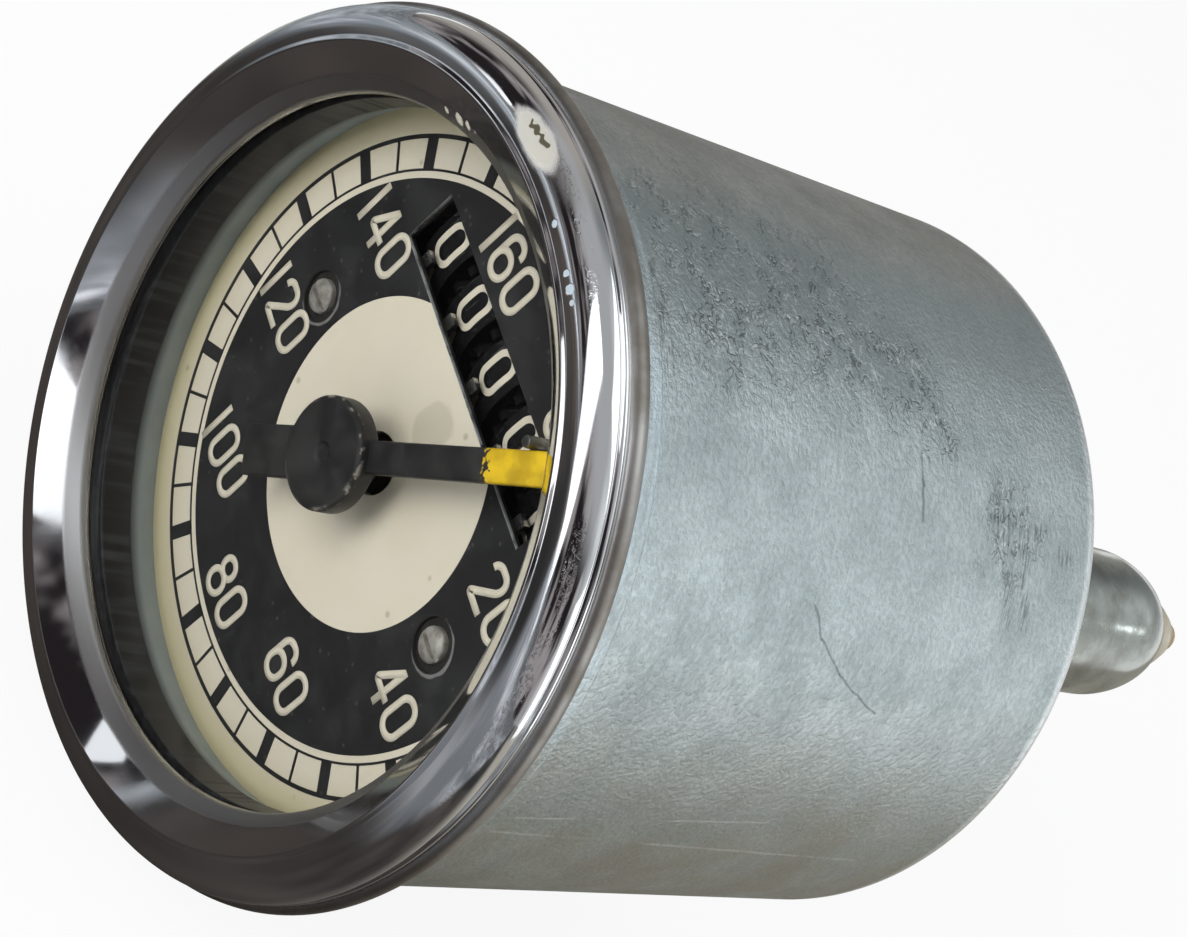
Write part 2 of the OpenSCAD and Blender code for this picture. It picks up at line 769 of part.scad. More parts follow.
// Three screws through the case back into the base posts
module case_screws() {
  color([0.5, 0.5, 0.5]) for (a = post_angles) {
    slotted_screw(clock(post_circle_r, a), screw_head_r, spigot_r,
      case_depth + screw_head_h, screw_head_h, back_in - screw_reach, -1);
  }
}

// Spindle with the first worm, the pivot bore and the cable socket
module drive_spindle() {
  color([0.62, 0.62, 0.63]) difference() {
    union() {
      bar([0, 0], spindle_r, spindle_front, worm_front + worm_bite);
      translate([0, cross_y, 0]) rotate([-90, 0, 0]) worm(90);
      bar([0, 0], spindle_r, worm_rear - worm_bite, ferrule_front);
    }
    bar([0, 0], pivot_r + run_gap, spindle_front - 1, pivot_start + pivot_len + 0.5);
    slab(ferrule_front - socket_depth, ferrule_front + 1) square(socket_w, center = true);
  }
}

// Flanged bush for the spindle in the lower plate
module spindle_bush() {
  flange_len = 1.2;
  color([0.72, 0.58, 0.3]) difference() {
    union() {
      bar([0, 0], spindle_bush_r, lower_front, lower_rear);
      bar([0, 0], spindle_bush_r + 1.5, lower_front - flange_len, lower_front);
    }
    bar([0, 0], spindle_r + run_gap, lower_front - flange_len - 1, lower_rear + 1);
  }
}

// Bush for the spindle in the drive neck
module neck_bush() {
  color([0.72, 0.58, 0.3]) slab(neck_flange_front, ferrule_front) difference() {
    circle(neck_bush_r - fit_gap);
    circle(spindle_r + run_gap);
  }
}

// Threaded neck that the drive cable's union nut screws on to
module drive_neck() {
  chamfer = 0.8;
  color([0.7, 0.71, 0.71]) turned([
    [neck_bush_r, neck_flange_front], [neck_flange_r, neck_flange_front], [neck_flange_r, back_in],
    [neck_seat_r, back_in], [neck_seat_r, neck_step], [neck_r, neck_step],
    [neck_r, neck_rear - chamfer], [neck_r - chamfer, neck_rear],
    [ferrule_r, neck_rear], [ferrule_r, ferrule_front], [neck_bush_r, ferrule_front]]);
}

// Nut that clamps the drive neck in the case back
module neck_nut() {
  color([0.68, 0.69, 0.7])
    nut([0, 0], neck_nut_af, neck_seat_r + fit_gap, case_depth, neck_step);
}

// Cross shaft with the second worm
module cross_shaft() {
  color([0.62, 0.62, 0.63]) {
    cross_bar(cross_left - cross_bracket_t, cross_right + cross_bracket_t, cross_y, cross_z, shaft_r);
    translate([lay_x, cross_y, cross_z]) rotate([0, 90, 0]) worm(180);
  }
}

// Worm wheel on the cross shaft, driven by the spindle
module cross_wheel() {
  hub_len = 2.4;
  hub = shaft_r + 0.8;
  color([0.75, 0.62, 0.35]) translate([0, cross_y, cross_z]) {
    rotate([0, 90, 0]) worm_wheel(cross_teeth, cross_r, shaft_r + fit_gap, 180);
    translate([-wheel_face / 2 - hub_len, 0, 0]) rotate([0, 90, 0]) difference() {
      cylinder(r = hub, h = hub_len);
      translate([0, 0, -1]) cylinder(r = shaft_r + fit_gap, h = hub_len + 2);
    }
  }
}

// Two brackets on the lower plate for the cross shaft
module cross_brackets() {
  rise = cross_y - lower_rear + cross_bracket_over;
  half = 2.6;
  color([0.6, 0.6, 0.6]) for (x = [cross_left - cross_bracket_t, cross_right]) {
    difference() {
      translate([x, lower_rear, cross_z - half]) cube([cross_bracket_t, rise, half * 2]);
      cross_bar(x - 1, x + cross_bracket_t + 1, cross_y, cross_z, shaft_r + run_gap);
    }
  }
}

// Layshaft with the third worm
module layshaft() {
  color([0.62, 0.62, 0.63]) {
    bar([lay_x, lay_z], shaft_r, lug_front - 0.5, cross_y + wheel_face / 2 + 1);
    translate([lay_x, number_y, lay_z]) rotate([-90, 0, 0]) worm(270);
  }
}

// Large worm wheel on the layshaft, driven by the cross shaft
module lay_wheel() {
  hub_wall = 2;
  hub_front = lower_rear + run_gap * 4;
  color([0.75, 0.62, 0.35]) {
    translate([lay_x, cross_y, lay_z]) rotate([-90, 0, 0])
      worm_wheel(lay_teeth, lay_r, shaft_r + fit_gap, 90);
    slab(hub_front, cross_y - wheel_face / 2) translate([lay_x, lay_z]) difference() {
      circle(shaft_r + hub_wall);
      circle(shaft_r + fit_gap);
    }
  }
}

// Worm wheel that turns the units number wheel, with its hub
module units_gear() {
  hub_start = wheel_x(1) + drum_w / 2;
  hub_end = lay_x - wheel_face / 2;
  color([0.75, 0.62, 0.35]) translate([0, number_y, number_z]) {
    translate([lay_x, 0, 0]) rotate([0, 90, 0])
      worm_wheel(units_teeth, units_r, number_shaft_r + run_gap, 0);
    translate([hub_start, 0, 0]) rotate([0, 90, 0]) difference() {
      cylinder(r = number_shaft_r + 1.8, h = hub_end - hub_start);
      translate([0, 0, -1]) cylinder(r = number_shaft_r + run_gap, h = hub_end - hub_start + 2);
    }
  }
}

// Number wheel n, counted from the units: rim, driven teeth and carry teeth
module number_wheel(n) {
  carry_tooth_half = 0.35;
  carry_root_half = 0.85;
  toward_pinion = pinion_angle + 90;
  color([0.1, 0.1, 0.11]) translate([wheel_x(n), number_y, number_z]) rotate([0, 90, 0]) {
    difference() {
      union() {
        translate([0, 0, -drum_w / 2]) cylinder(r = drum_r, h = drum_w);
        if (n > 1) {
          translate([0, 0, drum_w / 2]) linear_extrude(carry_w)
            rotate(toward_pinion + 180 / carry_teeth)
              teeth(carry_teeth, carry_tip, carry_root, carry_tooth_half, carry_root_half);
        }
        if (n < wheel_count) {
          translate([0, 0, -drum_w / 2 - carry_w]) cylinder(r = carry_root, h = carry_w);
          translate([0, 0, -drum_w / 2 - carry_w]) linear_extrude(carry_w)
            for (tooth = [-1, 1]) rotate(toward_pinion + 90 + tooth * 180 / carry_teeth)
              translate([0, -carry_tooth_half]) square([carry_tip, carry_tooth_half * 2]);
        }
      }
      translate([0, 0, -drum_w]) cylinder(r = number_shaft_r + run_gap, h = drum_w * 2);
    }
  }
}

// Carry pinion between number wheel n and the next higher one
module carry_pinion(n) {
  tip_half = 0.3;
  root_half = 0.65;
  toward_wheel = pinion_angle - 90;
  from = wheel_x(n + 1) + drum_w / 2 + pinion_gap;
  to = wheel_x(n) - drum_w / 2 - pinion_gap;
  color([0.75, 0.62, 0.35]) translate([from, pinion_y, pinion_z]) rotate([0, 90, 0])
    linear_extrude(to - from) difference() {
      rotate(toward_wheel) teeth(pinion_teeth, pinion_tip, pinion_root, tip_half, root_half);
      circle(pinion_shaft_r + run_gap);
    }
}

// Fixed shaft of the number wheels
module number_shaft() {
  color([0.62, 0.62, 0.63]) cross_bar(counter_left - bracket_t, counter_right + bracket_t,
    number_y, number_z, number_shaft_r);
}

// Fixed shaft of the carry pinions
module pinion_shaft() {
  color([0.62, 0.62, 0.63]) cross_bar(counter_left - bracket_t, counter_right + bracket_t,
    pinion_y, pinion_z, pinion_shaft_r);
}

// Flat outline of a counter bracket, as [depth, height] points
module bracket_outline() {
  foot = pinion_z - 2;
  top = number_z + 3;
  polygon([[comb_rear, foot], [upper_front, foot], [upper_front, number_z - 2],
    [number_y + 4, top], [number_y - 4, top], [comb_rear, lay_z + 3]]);
}

// Two side brackets on the upper plate, the right one with the layshaft's lug
module counter_brackets() {
  lug_half = 2.5;
  color([0.6, 0.6, 0.6]) {
    for (x = [counter_left - bracket_t, counter_right]) {
      difference() {
        translate([x, 0, 0]) rotate([90, 0, 90]) linear_extrude(bracket_t) bracket_outline();
        cross_bar(x - 1, x + bracket_t + 1, number_y, number_z, number_shaft_r + fit_gap);
        cross_bar(x - 1, x + bracket_t + 1, pinion_y, pinion_z, pinion_shaft_r + fit_gap);
      }
    }
    slab(lug_front, lug_rear) difference() {
      translate([lay_x - lug_half, lay_z - lug_half])
        square([counter_right - lay_x + lug_half, lug_half * 2]);
      translate([lay_x, lay_z]) circle(shaft_r + run_gap);
    }
  }
}

// Sprung comb in front of the number wheels, one finger for each wheel
module detent_comb() {
  bar_low = lay_z;
  bar_high = lay_z + 2;
  finger_w = 1.4;
  finger_top = window_z - window_h / 2 + 0.9;
  color([0.6, 0.6, 0.6]) slab(comb_front, comb_rear) {
    translate([counter_left - bracket_t, bar_low])
      square([counter_right - counter_left + bracket_t * 2, bar_high - bar_low]);
    for (n = [1 : wheel_count]) translate([wheel_x(n) - finger_w / 2, bar_low])
      square([finger_w, finger_top - bar_low]);
  }
}

// Profile of [radius, depth] points, turned round the lamp's axis
module lamp_turned(profile) {
  translate([lamp_pos[0], 0, lamp_pos[1]]) turned(profile);
}

// Shell of the lamp holder: neck through the case back and tapered end with a rounded shoulder
module lamp_shell() {
  bore = bulb_cap_r + run_gap;
  end_hole = insulator_r + run_gap;
  end_r = end_hole + 0.35;
  shoulder = [lamp_shell_r, lamp_rear - lamp_taper];
  slant = [end_r - lamp_shell_r, lamp_taper] / norm([end_r - lamp_shell_r, lamp_taper]);
  color([0.62, 0.63, 0.6]) lamp_turned(concat(
    [[bore, lamp_inside], [lamp_neck_r, lamp_inside], [lamp_neck_r, case_depth],
     [lamp_shell_r, case_depth]],
    [for (t = [0 : 0.2 : 1]) shoulder - [0, lamp_round * (1 - t) ^ 2] + slant * lamp_round * t ^ 2],
    [[end_r, lamp_rear], [end_hole, lamp_rear], [end_hole, lamp_rear - 3], [bore, lamp_rear - 3]]));
}

// Insulating bush in the end of the lamp holder
module lamp_insulator() {
  cone = 1.6;
  color([0.85, 0.8, 0.7]) lamp_turned([
    [contact_r + fit_gap, insulator_front], [insulator_r, insulator_front],
    [insulator_r, lamp_rear + 0.2], [insulator_r - cone, insulator_rear],
    [contact_r + fit_gap, insulator_rear]]);
}

// Brass contact pin that takes the lamp's wire
module lamp_contact() {
  head_r = contact_r + 0.6;
  point_r = 1.3;
  tip = insulator_rear + contact_head_len;
  color([0.7, 0.52, 0.2]) lamp_turned([
    [0, bulb_cap_rear], [contact_r, bulb_cap_rear], [contact_r, insulator_rear],
    [head_r, insulator_rear], [head_r, insulator_rear + 0.4], [point_r, tip - 0.3], [0, tip]]);
}

// Metal cap of the dial bulb
module bulb_cap() {
  color(cap_colour) lamp_turned([
    [0, bulb_neck], [bulb_cap_r, bulb_neck], [bulb_cap_r, bulb_cap_rear - 0.5],
    [contact_r, bulb_cap_rear - 0.5], [contact_r, bulb_cap_rear], [0, bulb_cap_rear]]);
}

// Glass of the dial bulb, its tip towards the dial
module bulb_glass() {
  round_at = bulb_tip + bulb_r;
  color([0.9, 0.92, 0.9, 0.4]) lamp_turned(concat(
    [[0, bulb_tip]],
    [for (a = [15 : 15 : 90]) [bulb_r * sin(a), round_at - bulb_r * cos(a)]],
    [[bulb_r, bulb_neck], [0, bulb_neck]]));
}

// Two threaded studs that hold the instrument in its bracket
module mounting_studs() {
  chamfer = 0.6;
  color([0.7, 0.71, 0.71]) for (side = [-1, 1]) translate([side * stud_x, 0, 0]) turned([
    [0, back_in - stud_head_t], [stud_head_r, back_in - stud_head_t], [stud_head_r, back_in],
    [stud_seat_r, back_in], [stud_seat_r, case_depth + stud_nut_t],
    [stud_r, case_depth + stud_nut_t], [stud_r, case_depth + stud_len - chamfer],
    [stud_r - chamfer, case_depth + stud_len], [0, case_depth + stud_len]]);
}

// Two nuts that clamp the studs in the case back
module stud_nuts() {
  color([0.68, 0.69, 0.7]) for (side = [-1, 1]) {
    nut([side * stud_x, 0], stud_nut_af, stud_seat_r + fit_gap, case_depth, case_depth + stud_nut_t);
  }
}

case();
bezel();
lens_glass();
lens_gasket();
shade_ring();
light_ring();
dial();
dial_screws();
stop_pin();
needle();
arbor();
arbor_bush();
hairspring();
hairspring_collet();
hairspring_stud();
drag_cup();
magnet();
field_cup();
upper_plate();
lower_plate();
dial_posts();
plate_posts();
plate_screws();
base_posts();
case_screws();
drive_spindle();
spindle_bush();
neck_bush();
drive_neck();
neck_nut();
cross_shaft();
cross_wheel();
cross_brackets();
layshaft();
lay_wheel();
units_gear();
number_wheel(1);  // number_wheel_1
number_wheel(2);  // number_wheel_2
number_wheel(3);  // number_wheel_3
number_wheel(4);  // number_wheel_4
number_wheel(5);  // number_wheel_5
carry_pinion(1);  // carry_pinion_1
carry_pinion(2);  // carry_pinion_2
carry_pinion(3);  // carry_pinion_3
carry_pinion(4);  // carry_pinion_4
number_shaft();
pinion_shaft();
counter_brackets();
detent_comb();
lamp_shell();
lamp_insulator();
lamp_contact();
bulb_cap();
bulb_glass();
mounting_studs();
stud_nuts();
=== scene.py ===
"""Looks of a round, cable-driven speedometer with a distance counter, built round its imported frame."""

import math

import bmesh
import bpy
from mathutils import Matrix, Vector


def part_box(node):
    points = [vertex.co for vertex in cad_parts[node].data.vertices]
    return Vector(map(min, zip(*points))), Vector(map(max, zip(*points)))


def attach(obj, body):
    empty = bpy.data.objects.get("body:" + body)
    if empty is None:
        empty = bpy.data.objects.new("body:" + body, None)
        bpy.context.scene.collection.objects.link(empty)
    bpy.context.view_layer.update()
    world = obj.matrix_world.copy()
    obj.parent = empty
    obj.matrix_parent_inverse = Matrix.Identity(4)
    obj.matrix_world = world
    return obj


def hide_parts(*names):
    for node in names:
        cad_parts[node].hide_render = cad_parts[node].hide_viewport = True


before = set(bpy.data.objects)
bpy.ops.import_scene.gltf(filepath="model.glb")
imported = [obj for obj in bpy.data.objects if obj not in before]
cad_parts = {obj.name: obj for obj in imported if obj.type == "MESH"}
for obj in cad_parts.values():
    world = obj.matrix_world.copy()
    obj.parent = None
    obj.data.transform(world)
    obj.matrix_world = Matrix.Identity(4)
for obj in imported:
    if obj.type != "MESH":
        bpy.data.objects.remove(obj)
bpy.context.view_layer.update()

bl_info = {
    "name": "Vintage speedometer",
    "version": (1, 0, 0),
    "blender": (4, 5, 0),
    "location": "View3D > Sidebar > Speedometer",
    "description": "Builds the visible pieces and finishes of a cable-driven speedometer",
    "category": "Object",
}

MM = 0.001
TURN = 2 * math.pi
SIDES = (-1, 1)
SHARP = math.radians(35)

# Depths and radii in millimetres, on the dial axis with +Y to the back
CASE_R = 40.0
CASE_REAR = 73.0
LENS_R = 37.6
LENS_FRONT = -2.1
LENS_REAR = -0.5
SHADE_REAR = 3.3
DIAL_FRONT = 7.1
DIAL_REAR = 7.9
RING_R = 38.6
WINDOW_WIDTH = 36.0
WINDOW_HEIGHT = 6.7
WINDOW_MIDDLE = 16.5
CUT_FRONT = 6.0
CUT_REAR = 9.0
SCREW_X = 20.3
STOP_R = 26.6
STOP_BEFORE_ZERO = 5.0
ZERO_CLOCK = 36.0
CLOCK_PER_TEN = 18.2
TOP_SPEED = 160
DRUM_R = 10.0
DRUM_WIDTH = 5.2
DRUM_DEPTH = 19.1
DRUM_HEIGHT = 16.2
WHEEL_PITCH = 7.6
FIGURE_STROKE = 0.72
STROKE_RISE = 0.05
LAMP_AT = (20.764, 21.653)
STUD_X = 26.0
CASE_SCREW_R = 30.0


def oval(half, top, low, rounding):
    """A closed centre line with rounded corners."""
    return True, [(x, z, rounding) for x, z in ((-half, top), (half, top), (half, low), (-half, low))]


# Centre lines of the numerals: (closed, [(x, z, rounding), ...]) in a 2.6 by 4.7 box
NUMERALS = {
    "0": [oval(1.28, 2.33, -2.33, 1.2)],
    "1": [(False, [(0, 2.68, 0), (0, -2.68, 0)])],
    "2": [(False, [(-1.28, 1.35, 0), (-1.22, 2.33, 0.9), (1.28, 2.33, 0.98), (1.28, 0.75, 0.55),
                   (-1.22, -2.33, 0.42), (1.6, -2.33, 0)])],
    "3": [(False, [(-1.25, 1.5, 0), (-1.25, 2.33, 0.75), (1.2, 2.33, 1.0), (1.2, 0.2, 0.9),
                   (-0.3, 0.2, 0)]),
          (False, [(-0.3, 0.2, 0), (1.28, 0.2, 1.1), (1.28, -2.33, 1.1), (-1.28, -2.33, 0.9),
                   (-1.28, -1.35, 0)])],
    "4": [(False, [(0.55, -2.68, 0), (0.55, 2.68, 0)]),
          (False, [(0.45, 2.4, 0), (-1.35, -1.05, 0.42), (1.6, -1.05, 0)])],
    "5": [(False, [(1.2, 2.33, 0), (-1.0, 2.33, 0.42), (-1.15, 0.3, 0.45), (1.28, 0.5, 1.1),
                   (1.28, -2.33, 1.2), (-1.28, -2.33, 0.85), (-1.28, -1.4, 0)])],
    "6": [(False, [(1.2, 1.25, 0), (1.2, 2.33, 1.0), (-1.28, 2.33, 1.2), (-1.28, -1.0, 0)]),
          oval(1.28, 0.42, -2.33, 1.2)],
    "7": [(False, [(-1.5, 2.33, 0), (1.3, 2.33, 0.45), (-0.4, -2.68, 0)])],
    "8": [(True, [(-1.1, 2.33, 1.05), (1.1, 2.33, 1.05), (1.1, 0.2, 1.0), (-1.1, 0.2, 1.0)]),
          oval(1.28, 0.2, -2.33, 1.2)],
    "9": [(False, [(-1.2, -1.25, 0), (-1.2, -2.33, 1.0), (1.28, -2.33, 1.2), (1.28, 1.0, 0)]),
          oval(1.28, 2.33, -0.42, 1.2)],
}
ADVANCE = 3.85
NARROW_ADVANCE = {"1": 2.15}
DIAL_NUMBERS = {
    "0": (10.5, 23.3), "20": (21.25, 8.75), "40": (22.4, -6.7), "60": (12.5, -19.55),
    "80": (-0.3, -24.5), "100": (-13.9, -19.1), "120": (-22.5, -5.2), "140": (-20.5, 10.55),
    "160": (-6.7, 23.5),
}
COUNTER_SHOWS = {1: 1, 2: 0, 3: 0, 4: 0, 5: 0}
WHEEL_BODIES = {1: "units_wheel", 2: "tens_wheel", 3: "hundreds_wheel", 4: "thousands_wheel",
                5: "ten_thousands_wheel"}

# Marks on the case: etched zones (clock, depth, radius), and lines (from, to, width)
ETCHED_ZONES = ((0, 13, 13), (7, 27, 15), (14, 38, 10), (20, 44, 7), (12, 12, 10), (33, 57, 9))
DARK_MARKS = (
    ((47.5, 28.1), (51.9, 30.7), 0.28), ((51.9, 30.7), (56.3, 35.2), 0.2),
    ((56.3, 35.2), (61.5, 43.1), 0.22), ((24.4, 40.9), (29.0, 41.3), 0.3),
    ((28.2, 41.0), (33.8, 41.6), 0.34), ((31.0, 53.0), (31.6, 61.3), 1.6),
    ((33.0, 55.2), (45.5, 58.2), 1.4), ((33.5, 58.6), (45.2, 60.8), 1.5),
    ((34.0, 65.6), (34.6, 67.4), 1.6), ((9.0, 4.6), (21.5, 5.0), 1.4), ((23.0, 18.5), (23.6, 18.9), 0.7))
HATCHED_WIDTH = 0.5
PALE_MARKS = (((88.7, 6.0), (90.9, 60.0), 0.3), ((85.2, 7.0), (82.5, 40.0), 0.2))

# Marks on the bezel, by clock and by radius plus depth; the scabs on the inner slope by radius
SQUIGGLE = ((-9.4, 35.2), (-8.8, 34.8), (-8.1, 35.3), (-7.3, 35.0), (-6.4, 35.5), (-5.6, 35.2), (-4.6, 35.6))
CHIPS = ((5.7, 33.3, 0.4), (12.7, 33.4, 0.42), (14.9, 33.45, 0.6), (16.6, 33.5, 0.36))
SCABS = ((-23.5, 35.0, 0.7), (-27.2, 34.8, 0.5), (-20.8, 35.2, 0.55), (-18.7, 35.4, 0.4))


def length(name, text, value):
    """A length property in metres."""
    return bpy.props.FloatProperty(
        name=name, description=text, default=value, precision=6, subtype="DISTANCE", unit="LENGTH")


def colour(name, text, value):
    """A colour property."""
    return bpy.props.FloatVectorProperty(
        name=name, description=text, default=(*value, 1), size=4, min=0, max=1, subtype="COLOR")


class SpeedometerSizes(bpy.types.PropertyGroup):
    """Sizes of the print and of the fine detail."""

    paint: length("Paint", "Thickness of the printed paint on the dial", 0.00004)
    numeral_stroke: length("Numeral stroke", "Stroke width of the dial's numerals", 0.00076)
    bar_width: length("Scale bar", "Width of the bars at each ten on the scale", 0.0015)
    line_width: length("Scale line", "Width of the lines at each five on the scale", 0.00036)
    neck_pitch: length("Neck thread", "Pitch of the thread on the drive neck", 0.0015)
    stud_pitch: length("Stud thread", "Pitch of the thread on the mounting studs", 0.001)
    floor_drop: length("Floor", "Gap between the bezel's lowest point and the floor", 0.0002)


class SpeedometerColours(bpy.types.PropertyGroup):
    """Colours of the finishes, as linear values."""

    zinc_light: colour("Zinc, light", "Bright areas of the plated case", (0.575, 0.635, 0.645))
    zinc_dark: colour("Zinc, dull", "Dull areas of the plated case", (0.41, 0.465, 0.475))
    chrome: colour("Chrome", "Plating of the bezel", (0.80, 0.80, 0.81))
    cream: colour("Cream", "Enamel of the dial plate", (0.62, 0.57, 0.465))
    # Yellowed enamel that also carries painted shade under the rings
    aged_cream: colour("Aged cream", "Yellowed enamel near the dial's edge, darkened as painted shade under the rings", (0.43, 0.38, 0.225))
    print_black: colour("Print black", "Black print of the dial", (0.016, 0.016, 0.017))
    needle_black: colour("Needle black", "Paint of the needle", (0.014, 0.014, 0.015))
    tip_yellow: colour("Tip yellow", "Paint of the needle's tip", (0.43, 0.275, 0.001))
    frosted: colour("Frosted plastic", "Light ring round the dial", (0.33, 0.38, 0.40))
    brass: colour("Brass", "Brass pieces", (0.62, 0.42, 0.15))
    insulator: colour("Insulator", "Bush in the lamp holder's end", (0.60, 0.55, 0.44))
    floor: colour("Floor", "Plain floor under the instrument", (0.92, 0.92, 0.92))


def sizes():
    return bpy.context.scene.speedometer_sizes


def colours():
    return bpy.context.scene.speedometer_colours


class Nodes:
    """A shader node tree being filled; most methods add nodes and return their result."""

    def __init__(self, tree):
        self.tree = tree
        tree.nodes.clear()

    def put(self, kind, inputs=None, **settings):
        """Adds a node, sets its properties, and sets or links its inputs."""
        node = self.tree.nodes.new("ShaderNode" + kind)
        for key, value in settings.items():
            setattr(node, key, value)
        for key, value in (inputs or {}).items():
            socket = node.inputs[key]
            if isinstance(value, bpy.types.NodeSocket):
                self.tree.links.new(value, socket)
            else:
                socket.default_value = (*value[:3], 1) if socket.type == "RGBA" else value
        return node

    def calc(self, operation, *values, clamp=False):
        return self.put("Math", dict(enumerate(values)), operation=operation, use_clamp=clamp).outputs[0]

    def chain(self, operation, result, *values):
        for value in values:
            result = self.calc(operation, result, value)
        return result

    def times(self, *values):
        return self.chain("MULTIPLY", *values)

    def plus(self, *values):
        return self.chain("ADD", *values)

    def most(self, *values):
        return self.chain("MAXIMUM", *values)

    def minus(self, value, less):
        return self.calc("SUBTRACT", value, less)

    def below(self, value, limit):
        return self.calc("LESS_THAN", value, limit)

    def vector(self, operation, *values):
        node = self.put("VectorMath", dict(enumerate(values)), operation=operation)
        return node.outputs["Value" if operation in ("DISTANCE", "LENGTH", "DOT_PRODUCT") else "Vector"]

    def axes(self, vector):
        return tuple(self.put("SeparateXYZ", {0: vector}).outputs)

    def joined(self, x=0.0, y=0.0, z=0.0):
        return self.put("CombineXYZ", {0: x, 1: y, 2: z}).outputs[0]

    def noise(self, vector, scale, detail, **more):
        return self.put("TexNoise", {"Vector": vector, "Scale": scale, "Detail": detail, **more}).outputs[0]

    def mix(self, factor, first, second):
        return self.put("Mix", {0: factor, 6: first, 7: second}, data_type="RGBA").outputs[2]

    def ramp(self, value, low, high, to_low=0.0, to_high=1.0):
        """A smooth step between two levels, which may run downwards."""
        return self.put("MapRange", {"Value": value, "From Min": low, "From Max": high,
                                     "To Min": to_low, "To Max": to_high},
                        interpolation_type="SMOOTHSTEP").outputs[0]

    def effect(self, name, vector, **values):
        """Places a shared effect and returns its mask."""
        if name not in EFFECT_TREES:
            EFFECT_TREES[name] = EFFECTS[name]()
        return self.put("Group", {"Vector": vector, **values}, node_tree=EFFECT_TREES[name]).outputs["Mask"]


class Effect(Nodes):
    """A shader node group with a Vector, some named inputs and a Mask."""

    def __init__(self, name, **inputs):
        super().__init__(bpy.data.node_groups.new(name, "ShaderNodeTree"))
        sockets = self.tree.interface
        for label, default in {"Vector": (0, 0, 0), **inputs}.items():
            kind = "NodeSocketVector" if isinstance(default, tuple) else "NodeSocketFloat"
            sockets.new_socket(name=label, in_out="INPUT", socket_type=kind).default_value = default
        sockets.new_socket(name="Mask", in_out="OUTPUT", socket_type="NodeSocketFloat")
        self.given = self.tree.nodes.new("NodeGroupInput").outputs

    def gives(self, mask):
        self.tree.links.new(mask, self.tree.nodes.new("NodeGroupOutput").inputs["Mask"])
        return self.tree


def mottle_effect():
    """Soft clouds between two noise levels."""
    e = Effect("Mottle", Scale=200.0, Detail=4.0, Low=0.4, High=0.6)
    clouds = e.noise(e.given["Vector"], e.given["Scale"], e.given["Detail"], Roughness=0.6)
    return e.gives(e.ramp(clouds, e.given["Low"], e.given["High"]))


def speck_effect():
    """Scattered round specks, of which a share shows."""
    e = Effect("Specks", Scale=900.0, Size=0.25, Share=0.3)
    cells = e.put("TexVoronoi", {"Vector": e.given["Vector"], "Scale": e.given["Scale"]}).outputs
    dot = e.ramp(cells["Distance"], e.given["Size"], e.times(e.given["Size"], 0.4))
    pick = e.put("SeparateColor", {0: cells["Color"]}).outputs[0]
    return e.gives(e.times(dot, e.below(pick, e.given["Share"])))


def spot_effect():
    """One ragged patch about a point."""
    e = Effect("Spot", Centre=(0, 0, 0), Radius=0.002, Ragged=0.001, Scale=500.0, Core=0.8)
    away = e.vector("DISTANCE", e.given["Vector"], e.given["Centre"])
    shift = e.times(e.minus(e.noise(e.given["Vector"], e.given["Scale"], 4.0), 0.5), e.given["Ragged"])
    inner = e.times(e.given["Radius"], e.given["Core"])
    return e.gives(e.ramp(e.plus(away, shift), e.given["Radius"], inner))


def line_effect():
    """A wavering line between two points of an unrolled surface."""
    e = Effect("Line mark", From=(0, 0, 0), To=(0, 0, 0), Width=0.0003, Waver=0.0005)
    noise = e.put("TexNoise", {"Vector": e.given["Vector"], "Scale": 260.0, "Detail": 3.0})
    drift = e.vector("SUBTRACT", noise.outputs["Color"], (0.5, 0.5, 0.5))
    here = e.vector("ADD", e.given["Vector"], e.vector("MULTIPLY", drift, e.given["Waver"]))
    offset = e.vector("SUBTRACT", e.vector("MULTIPLY", here, (1, 1, 0)), e.given["From"])
    along = e.vector("SUBTRACT", e.given["To"], e.given["From"])
    part = e.calc("DIVIDE", e.vector("DOT_PRODUCT", offset, along), e.vector("DOT_PRODUCT", along, along),
                  clamp=True)
    away = e.vector("DISTANCE", offset, e.vector("MULTIPLY", along, part))
    return e.gives(e.ramp(away, e.given["Width"], 0.0))


def worm_effect():
    """Short wriggling lines, the contours of a noise that is stretched by the Scale vector."""
    e = Effect("Worms", Scale=(1, 1, 1), Width=0.04)
    stretched = e.vector("MULTIPLY", e.given["Vector"], e.given["Scale"])
    level = e.calc("ABSOLUTE", e.minus(e.noise(stretched, 1.0, 2.0, Distortion=0.7), 0.5))
    shown = e.ramp(e.noise(stretched, 0.45, 1.0), 0.44, 0.56)
    return e.gives(e.times(e.ramp(level, e.given["Width"], 0.0), shown))


def streak_effect():
    """Streaks along a direction, from noise that is stretched by the Scale vector."""
    e = Effect("Streaks", Scale=(1, 1, 1), Low=0.5, High=0.7)
    stretched = e.vector("MULTIPLY", e.given["Vector"], e.given["Scale"])
    return e.gives(e.ramp(e.noise(stretched, 1.0, 3.0), e.given["Low"], e.given["High"]))


EFFECTS = {"mottle": mottle_effect, "specks": speck_effect, "spot": spot_effect, "line": line_effect,
           "worms": worm_effect, "streaks": streak_effect}
EFFECT_TREES = {}


